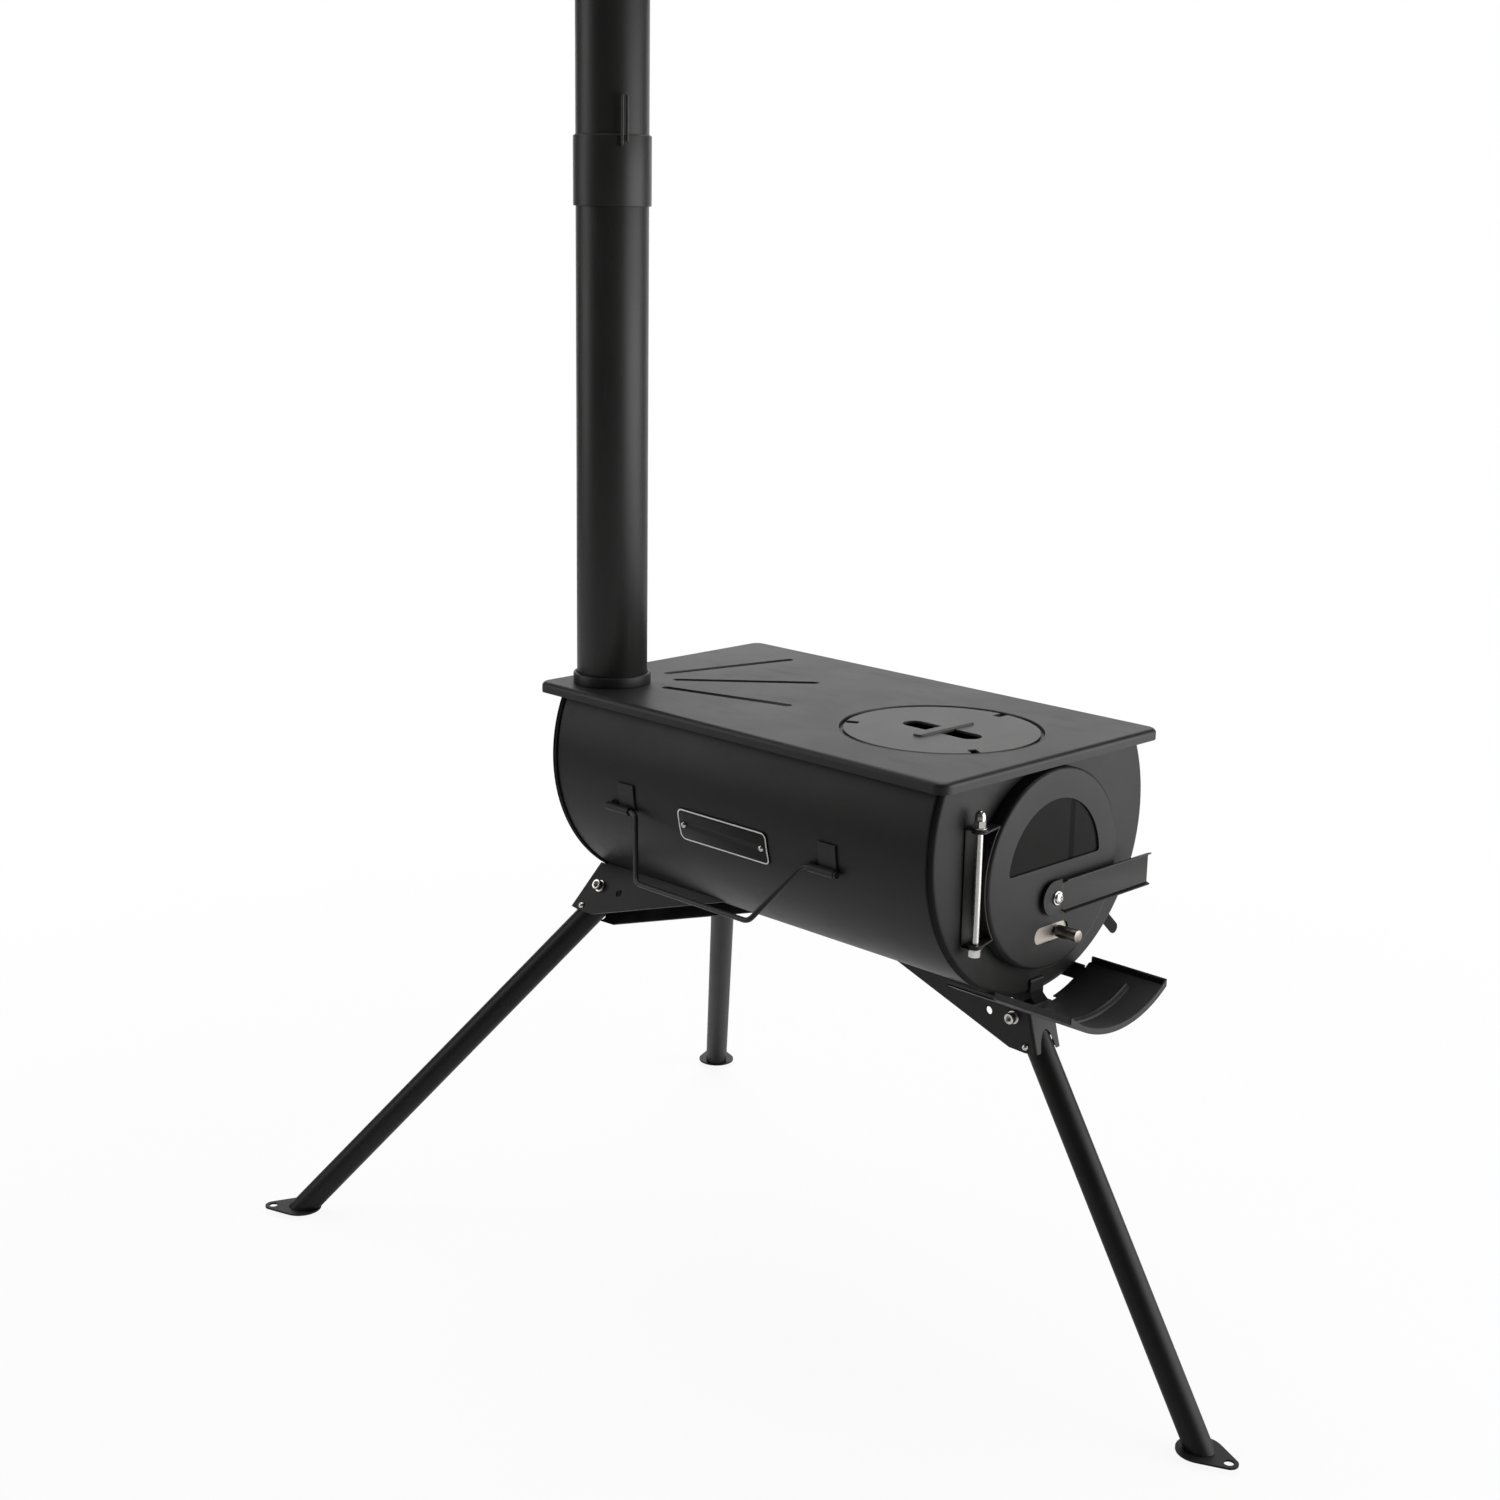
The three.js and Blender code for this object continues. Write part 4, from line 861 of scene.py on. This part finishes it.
for which, (pivot, x_way, out_way, up_way, lean, length, face, top_edge) in places.items():
    pivot = Vector(pivot) + Vector((0, front, 0))
    stand = Matrix((Vector(x_way), Vector(out_way), Vector(up_way))).transposed().to_4x4()
    stand.translation = pivot
    lie = Matrix.Rotation(math.radians(lean), 4, "X")
    body = "leg_" + which

    rise = [-0.0037 - (0.042 + 0.0295) / math.tan(math.radians(18.6)), 0.042]
    inboard = [rise, [-0.0185, 0.034], [-0.004, top_edge]] if top_edge < 0.042 else [rise]
    web_top, web_low = web_foot - slope * top_edge, web_foot + slope * 0.0285
    profile = [(web_top, top_edge), (web_low, -0.0285), (0.014, -0.030),
               (-0.0037, -0.0295)] + inboard
    channel = blank("leg_channel", [profile], half * 2, (0, 0, 0), (90, 0, 90), 0)
    bevel_edges(channel, lambda a, b: abs(a.x - b.x) < 1e-5 and min(a.y, b.y) > 0.010 and abs(a.z - b.z) > 0.02, 0.0028, 5)
    hollow = blank("cutter", [[(web_top - plate2, top_edge + 0.001), (web_low - plate2, -0.0285),
                               (web_low - plate2, -0.04), (-0.4, -0.04),
                               (-0.4, 0.06), (web_top - plate2, 0.06)]], (half - plate2) * 2,
                   (0, 0, 0), (90, 0, 90), 0)
    combine(channel, "DIFFERENCE", hollow)
    sweep = drill(tube + 0.0012, -0.09, 0.002, (0, 0, 0), "Z", 48)
    sweep.matrix_world = lie
    settle(sweep, "cutter")
    bolt_hole = cross_pin([(0, -0.04), (0.0033, -0.04), (0.0033, 0.04), (0, 0.04)], 0, 0)
    lock_hole = cross_pin([(0, -0.04), (0.0038, -0.04), (0.0038, 0.04), (0, 0.04)],
                          *along_leg(lean, button_out))
    fold_hole = cross_pin([(0, -0.04), (0.0038, -0.04), (0.0038, 0.04), (0, 0.04)],
                          *along_leg(lean - fold_turn, button_out))
    combine(channel, "DIFFERENCE", sweep, bolt_hole, lock_hole, fold_hole)
    channel.matrix_world = stand
    settle(channel, "leg_channel_" + which)
    clear = barrel_radius + gap
    rim_clear = rim_radius + gap
    combine(channel, "DIFFERENCE", turned("cutter", [
        (0, front - 0.02), (clear, front - 0.02), (clear, front + 0.010),
                                                     (rim_clear, front + 0.010),
                                                     (rim_clear, front + 0.0213),
        (clear, front + 0.0213), (clear, front + 0.4942), (rim_clear, front + 0.4942),
                                                     (rim_clear, front + 0.5055),
        (clear, front + 0.5055), (clear, front + 0.54), (0, front + 0.54)], (0, 0, barrel_z),
                                          sides=160))
    crisp(channel, 0.0003)
    ready(channel, bracket_paint, "firebox", "leg_bracket_" + which)

    head = half + gap
    screw = cross_pin([(0, -head - 0.0036), (0.0027, -head - 0.0036), (0.0027, -head - 0.0067),
                       (0.0034, -head - 0.0070),
                       (0.0045, -head - 0.0070), (0.0050, -head - 0.0065), (0.0050, -head - 0.0010),
                       (0.0059, -head - 0.0010),
                       (0.0062, -head - 0.0007), (0.0062, -head), (0.0030, -head), (0.0030, head),
                       (0.0062, head),
                       (0.0062, head + 0.0010), (0.0052, head + 0.0010), (0.0052, head + 0.0048),
                       (0.0046, head + 0.0055),
                       (0, head + 0.0055)], 0, 0, face)
    screw.matrix_world = stand
    settle(screw, "pivot_screw_" + which)
    ready(screw, stainless, "firebox", "pivot_bolt_" + which, slot="stainless")
    button = cross_pin([(0, -half - 0.0032), (0.0012, -half - 0.0030), (0.0022, -half - 0.0024),
                        (0.0030, -half - 0.0014),
                        (0.0034, -half), (0.0035, -half + 0.001), (0.0035, -tube - 0.0007),
                        (0, -tube - 0.0007)],
                       *along_leg(lean, button_out), face)
    button.matrix_world = stand
    settle(button, "lock_button_" + which, 40)
    ready(button, stainless, "firebox", "snap_button_" + which, slot="stainless")

    shank = turned("leg_tube", [(tube - tube_wall, 0.0098), (tube - 0.0012, 0.010),
                                (tube - 0.0003, 0.010), (tube, 0.0097),
                                (tube, -length - 0.012), (tube - tube_wall, -length - 0.012),
                                (tube - tube_wall, 0.0098)],
                   (0, 0, 0), "Z", 64)
    combine(shank, "DIFFERENCE", drill(bolt_bore, -0.04, 0.04, (0, 0, 0), "X", 32))
    shank.matrix_world = stand @ lie
    settle(shank, "leg_shank_" + which)
    combine(shank, "DIFFERENCE", block("cutter", (-1, -1, -0.2),
                                       (1, 1, foot_low + foot_thick + gap)))
    settle(shank, "leg_shank_" + which)
    ready(shank, leg_paint, body, "leg_tube_" + which)

    spot = stand @ Vector((0, *along_leg(lean, length)))
    heading = math.atan2(spot.y - pivot.y, spot.x - pivot.x)
    pad = blank("foot", [arc(0, 0, 0.021, 64, 296, 40) + arc(0.0295, 0, 0.0085, -64, 64, 20),
                         arc(0.0295, 0, 0.0045, 360, 0, 24)[:-1]],
                foot_thick, (0, 0, foot_low + foot_thick / 2), (0, 0, 0), 0.0003)
    spike = turned("spike", [(0, 0), (0.0008, 0.0002), (0.0014, 0.0008),
                             (0.0036, foot_low - 0.0004), (0.0036, foot_low + 0.0005),
                             (0, foot_low + 0.0005)],
                   (0, 0, 0), "Z", 32)
    combine(pad, "UNION", spike)
    pad.rotation_euler = (0, 0, heading)
    pad.location = (spot.x, spot.y, 0)
    settle(pad, "ground_plate_" + which)
    ready(pad, leg_paint, body, "foot_plate_" + which)


# ---------------------------------------------------------------- carrying handles
# On each side a round wire, bent to a trapeze, hangs in two clips. Each clip is a strip welded to the
# barrel, its lower edge rolled to a sleeve round the wire, whose ends are upset so that it stays in.
wire_r, sleeve_r = 0.0025, 0.004
wire_mid = front + 0.270
hold_at, wire_angle = 0.150, 13
hang_x = -hold_at * math.cos(math.radians(wire_angle))
hang_z = barrel_z - hold_at * math.sin(math.radians(wire_angle))
swing = math.radians(30)
wire_paint = stove_black("handle_wire_black", tone=0.017, rough=0.4, specular=0.42, grain=0.06)
clip_paint = stove_black("clip_black", tone=0.015)


def hung(y, down):
    """A point of the hanging wire."""
    return hang_x - down * math.sin(swing), y, hang_z - down * math.cos(swing)


for which, across_x in (("near", 1), ("far", -1)):
    end = 0.148
    bail = strand("bail", [hung(wire_mid - end - 0.001, 0), hung(wire_mid - 0.110, 0),
                           hung(wire_mid - 0.074, 0.062),
                           hung(wire_mid + 0.074, 0.062), hung(wire_mid + 0.110, 0),
                           hung(wire_mid + end + 0.001, 0)], wire_r, 0.006, 10)
    for low in (wire_mid - end - 0.0025, wire_mid + end + gap):
        combine(bail, "UNION", turned("upset", [(0, low), (0.0031, low), (0.0035, low + 0.0004),
                                                (0.0035, low + 0.0018),
                                                (0.0031, low + 0.0022), (0, low + 0.0022)],
                                      (hang_x, 0, hang_z), sides=32))
    bail.scale = (across_x, 1, 1)
    settle(bail, "carry_bail_" + which, 50)
    if across_x < 0:
        bail.data.flip_normals()
    ready(bail, wire_paint, "carry_" + which, "carry_wire_" + which)
    for where, sleeve_y, strip_y in (("front", wire_mid - end, wire_mid - end),
                                     ("rear", wire_mid + 0.118, wire_mid + 0.113)):
        inside = barrel_radius + gap
        strip = blank("clip_strip", [arc(0, 0, inside + sheet, 183, 180 + wire_angle,
                                         12) + arc(0, 0, inside, 180 + wire_angle, 183, 12)],
                      0.021, (0, strip_y + 0.0105, barrel_z), (90, 0, 0), 0)
        combine(strip, "UNION", turned("sleeve", [(0, sleeve_y), (sleeve_r, sleeve_y),
                                                  (sleeve_r, sleeve_y + 0.030),
                                                  (0, sleeve_y + 0.030)],
                                       (hang_x, 0, hang_z), sides=48))
        combine(strip, "DIFFERENCE", drill(wire_r + gap, sleeve_y - 0.01, sleeve_y + 0.04,
                                           (hang_x, 0, hang_z), sides=40))
        crisp(strip, 0.00025)
        strip.scale = (across_x, 1, 1)
        settle(strip, "bail_clip_" + which + "_" + where)
        if across_x < 0:
            strip.data.flip_normals()
        ready(strip, clip_paint, "firebox", f"wire_clip_{which}_{where}")


# ---------------------------------------------------------------- nameplate
# A thin aluminium plate, curved to the barrel and held by two small domed screws. It is printed black
# with a rounded white line round it, and is left without words or a mark.
name_y, name_turn = front + 0.265, math.radians(12.35)
name_wide, name_high = 0.116, 0.0325
name_in = barrel_radius + gap
badge = turned("badge", [(name_in + 0.001, name_y - 0.06), (name_in + 0.001, name_y + 0.06),
                         (name_in, name_y + 0.06),
                         (name_in, name_y - 0.06), (name_in + 0.001, name_y - 0.06)], (0, 0, 0),
               sides=256)
combine(badge, "INTERSECT", blank("plan", [rounded(name_wide, name_high, 0.005)], 0.06,
                                  (-0.14, name_y, 0), (90, 0, 90), 0))
crisp(badge, 0.0002)
for y in (name_y - 0.050, name_y + 0.051):
    combine(badge, "DIFFERENCE", drill(0.0018, -0.16, -0.13, (0, y, 0), "X", 24))
    screw = turned("badge_screw", [(0, -name_in - 0.0027), (0.0012, -name_in - 0.0027),
                                   (0.0013, -name_in - 0.0020),
                                   (0.0015, -name_in - 0.0032), (0.0022, -name_in - 0.0026),
                                   (0.0028, -name_in - 0.0020),
                                   (0.0030, -name_in - 0.0013), (0.0015, -name_in - 0.0013),
                                   (0.0015, -name_in - 0.0001), (0, -name_in - 0.0001)],
                   (0, y, 0), "X", 32)
    screw.rotation_euler = (0, -name_turn, 0)
    screw.location = (0, 0, barrel_z)
    settle(screw, "badge_screw")
    ready(screw, stainless, "firebox", "nameplate_screw_1" if y < name_y else "nameplate_screw_2",
          slot="stainless")
badge.rotation_euler = (0, -name_turn, 0)
badge.location = (0, 0, barrel_z)
settle(badge, "badge_plate")
print_shop = Shop("badge_print", Specular_IOR_Level=0.2, Roughness=0.38)
spot = print_shop.node("ShaderNodeSeparateXYZ", inputs={0: print_shop.place})
node_x, node_y, node_z = (Value(print_shop, spot.socket.node.outputs[k]) for k in range(3))
sum_of = node_y.sum
round_way = sum_of("ARCTAN2", node_z - barrel_z, node_x * -1.0) + name_turn
over_x = sum_of("MAXIMUM", sum_of("ABSOLUTE", node_y - name_y) - (name_wide / 2 - 0.0065))
over_y = sum_of("MAXIMUM", sum_of("ABSOLUTE", round_way * (name_in + 0.001)) - (name_high / 2 - 0.0065))
outward = (over_x * over_x + over_y * over_y) ** 0.5
line = sum_of("ABSOLUTE", outward - 0.0054).above(0.00068, 0.00012)
print_shop.set(Base_Color=print_shop.mix(line, (0.95, 0.95, 0.94), (0.004, 0.004, 0.004)))
ready(badge, print_shop.material, "firebox", "nameplate", slot="nameplate_black")


# ---------------------------------------------------------------- side tab
# A rounded steel ear, bent at its foot and welded low on the far side of the barrel behind the front
# plate. Its use can't be told from the photograph.
tab_in = barrel_radius + gap
tab_y = front + 0.0222
blade = blank("side_ear", [[(tab_in - 0.001, -0.00525)] + arc(tab_in + 0.033 - 0.00525, 0, 0.00525,
                                                              -90, 90,
                                                              20) + [(tab_in - 0.001, 0.00525)]],
              sheet, (0, tab_y + sheet / 2, 0), (90, 0, 0), 0)
foot = turned("foot", [(tab_in + sheet, tab_y), (tab_in + sheet, tab_y + 0.013),
                       (tab_in, tab_y + 0.013), (tab_in, tab_y), (tab_in + sheet, tab_y)],
              (0, 0, 0), sides=192)
combine(foot, "INTERSECT", block("span", (0.1, tab_y - 0.01, -0.00525),
                                 (0.2, tab_y + 0.03, 0.00525)))
combine(blade, "UNION", foot)
combine(blade, "DIFFERENCE", drill(tab_in, tab_y - 0.02, tab_y + 0.04, (0, 0, 0), sides=192))
crisp(blade, 0.0003)
blade.rotation_euler = (0, math.radians(43), 0)
blade.location = (0, 0, barrel_z)
settle(blade, "side_ear")
# The plate paint's painted shade covers everything beyond the rim radius, so this whole ear is painted near black.
ready(blade, plate_paint, "firebox", "side_tab")


# ---------------------------------------------------------------- studio
# A pale floor runs into a white surround. Large soft panels stand behind, to the right of the door and
# to the left behind the flue, and the room behind the camera is dark.
world = bpy.data.worlds.new("surround")
bpy.context.scene.world = world
world.use_nodes = True
tree = world.node_tree
room = tree.nodes["Background"]
room.inputs["Color"].default_value = (1, 1, 1, 1)
room.inputs["Strength"].default_value = 0.06
white = tree.nodes.new("ShaderNodeBackground")
white.inputs["Color"].default_value = (1, 1, 1, 1)
path = tree.nodes.new("ShaderNodeLightPath")
blend = tree.nodes.new("ShaderNodeMixShader")
tree.links.new(path.outputs["Is Camera Ray"], blend.inputs[0])
tree.links.new(room.outputs[0], blend.inputs[1])
tree.links.new(white.outputs[0], blend.inputs[2])
tree.links.new(blend.outputs[0], tree.nodes["World Output"].inputs["Surface"])

bpy.ops.object.select_all(action="DESELECT")
bpy.ops.mesh.primitive_plane_add(size=14, location=(0, 0, -0.0005))
floor = bpy.context.object
floor.name = "floor"
pale = Shop("pale_floor", Base_Color=(0.86, 0.86, 0.86, 1), Roughness=0.9, Specular_IOR_Level=0.1)
glow = pale.tree.nodes.new("ShaderNodeEmission")
path = pale.tree.nodes.new("ShaderNodeLightPath")
away = pale.node("ShaderNodeVectorMath", {"operation": "LENGTH"}, {0: pale.place}, "Value")
share = (away.above(1.2, 0.6) * 0.08 + 0.92) * Value(pale, path.outputs["Is Camera Ray"])
wash = pale.tree.nodes.new("ShaderNodeMixShader")
pale.tree.links.new(share.socket, wash.inputs[0])
pale.tree.links.new(pale.shader.outputs[0], wash.inputs[1])
pale.tree.links.new(glow.outputs[0], wash.inputs[2])
pale.tree.links.new(wash.outputs[0], pale.tree.nodes["Material Output"].inputs["Surface"])
floor.data.materials.append(pale.material)


def lamp(name, place, aim, size, power):
    """A large soft panel of light pointed at a spot."""
    data = bpy.data.lights.new(name, "AREA")
    data.shape, data.size, data.size_y, data.energy = "RECTANGLE", size[0], size[1], power
    made = bpy.data.objects.new(name, data)
    bpy.context.collection.objects.link(made)
    made.location = place
    made.rotation_euler = (Vector(aim) - Vector(place)).to_track_quat("-Z", "Y").to_euler()
    made.visible_camera = False
    return made


lamp("overhead", (0.5, 0.5, 2.9), (0.1, 0.1, 0.5), (2.4, 2.4), 55)
lamp("behind", (2.0, 2.0, 1.0), (0, 0, 0.7), (4.5, 1.6), 32)
lamp("right_front", (1.3, -2.15, 0.8), (0, -0.2, 0.5), (2.8, 1.8), 58)
lamp("left_back", (-1.6, 1.6, 1.4), (0, 0, 1.1), (1.0, 2.0), 13)

position = Vector((-1.4685, -1.1011 + front, 1.0451))
yaw, pitch, roll = math.radians(44.85), math.radians(14.16), math.radians(0.94)
ahead = Vector((math.sin(yaw) * math.cos(pitch), math.cos(yaw) * math.cos(pitch), -math.sin(pitch)))
level = Vector((math.cos(yaw), -math.sin(yaw), 0))
over = level.cross(ahead)
across = level * math.cos(roll) + over * math.sin(roll)
upward = -level * math.sin(roll) + over * math.cos(roll)
camera = bpy.data.objects.new("camera", bpy.data.cameras.new("camera"))
bpy.context.collection.objects.link(camera)
camera.data.sensor_width = 36
camera.data.lens = 2187.06 / 1500 * 36
camera.data.clip_end = 50
camera.matrix_world = Matrix((across, upward, -ahead)).transposed().to_4x4()
camera.location = position
bpy.context.scene.camera = camera
bpy.context.scene.view_settings.view_transform = "Standard"
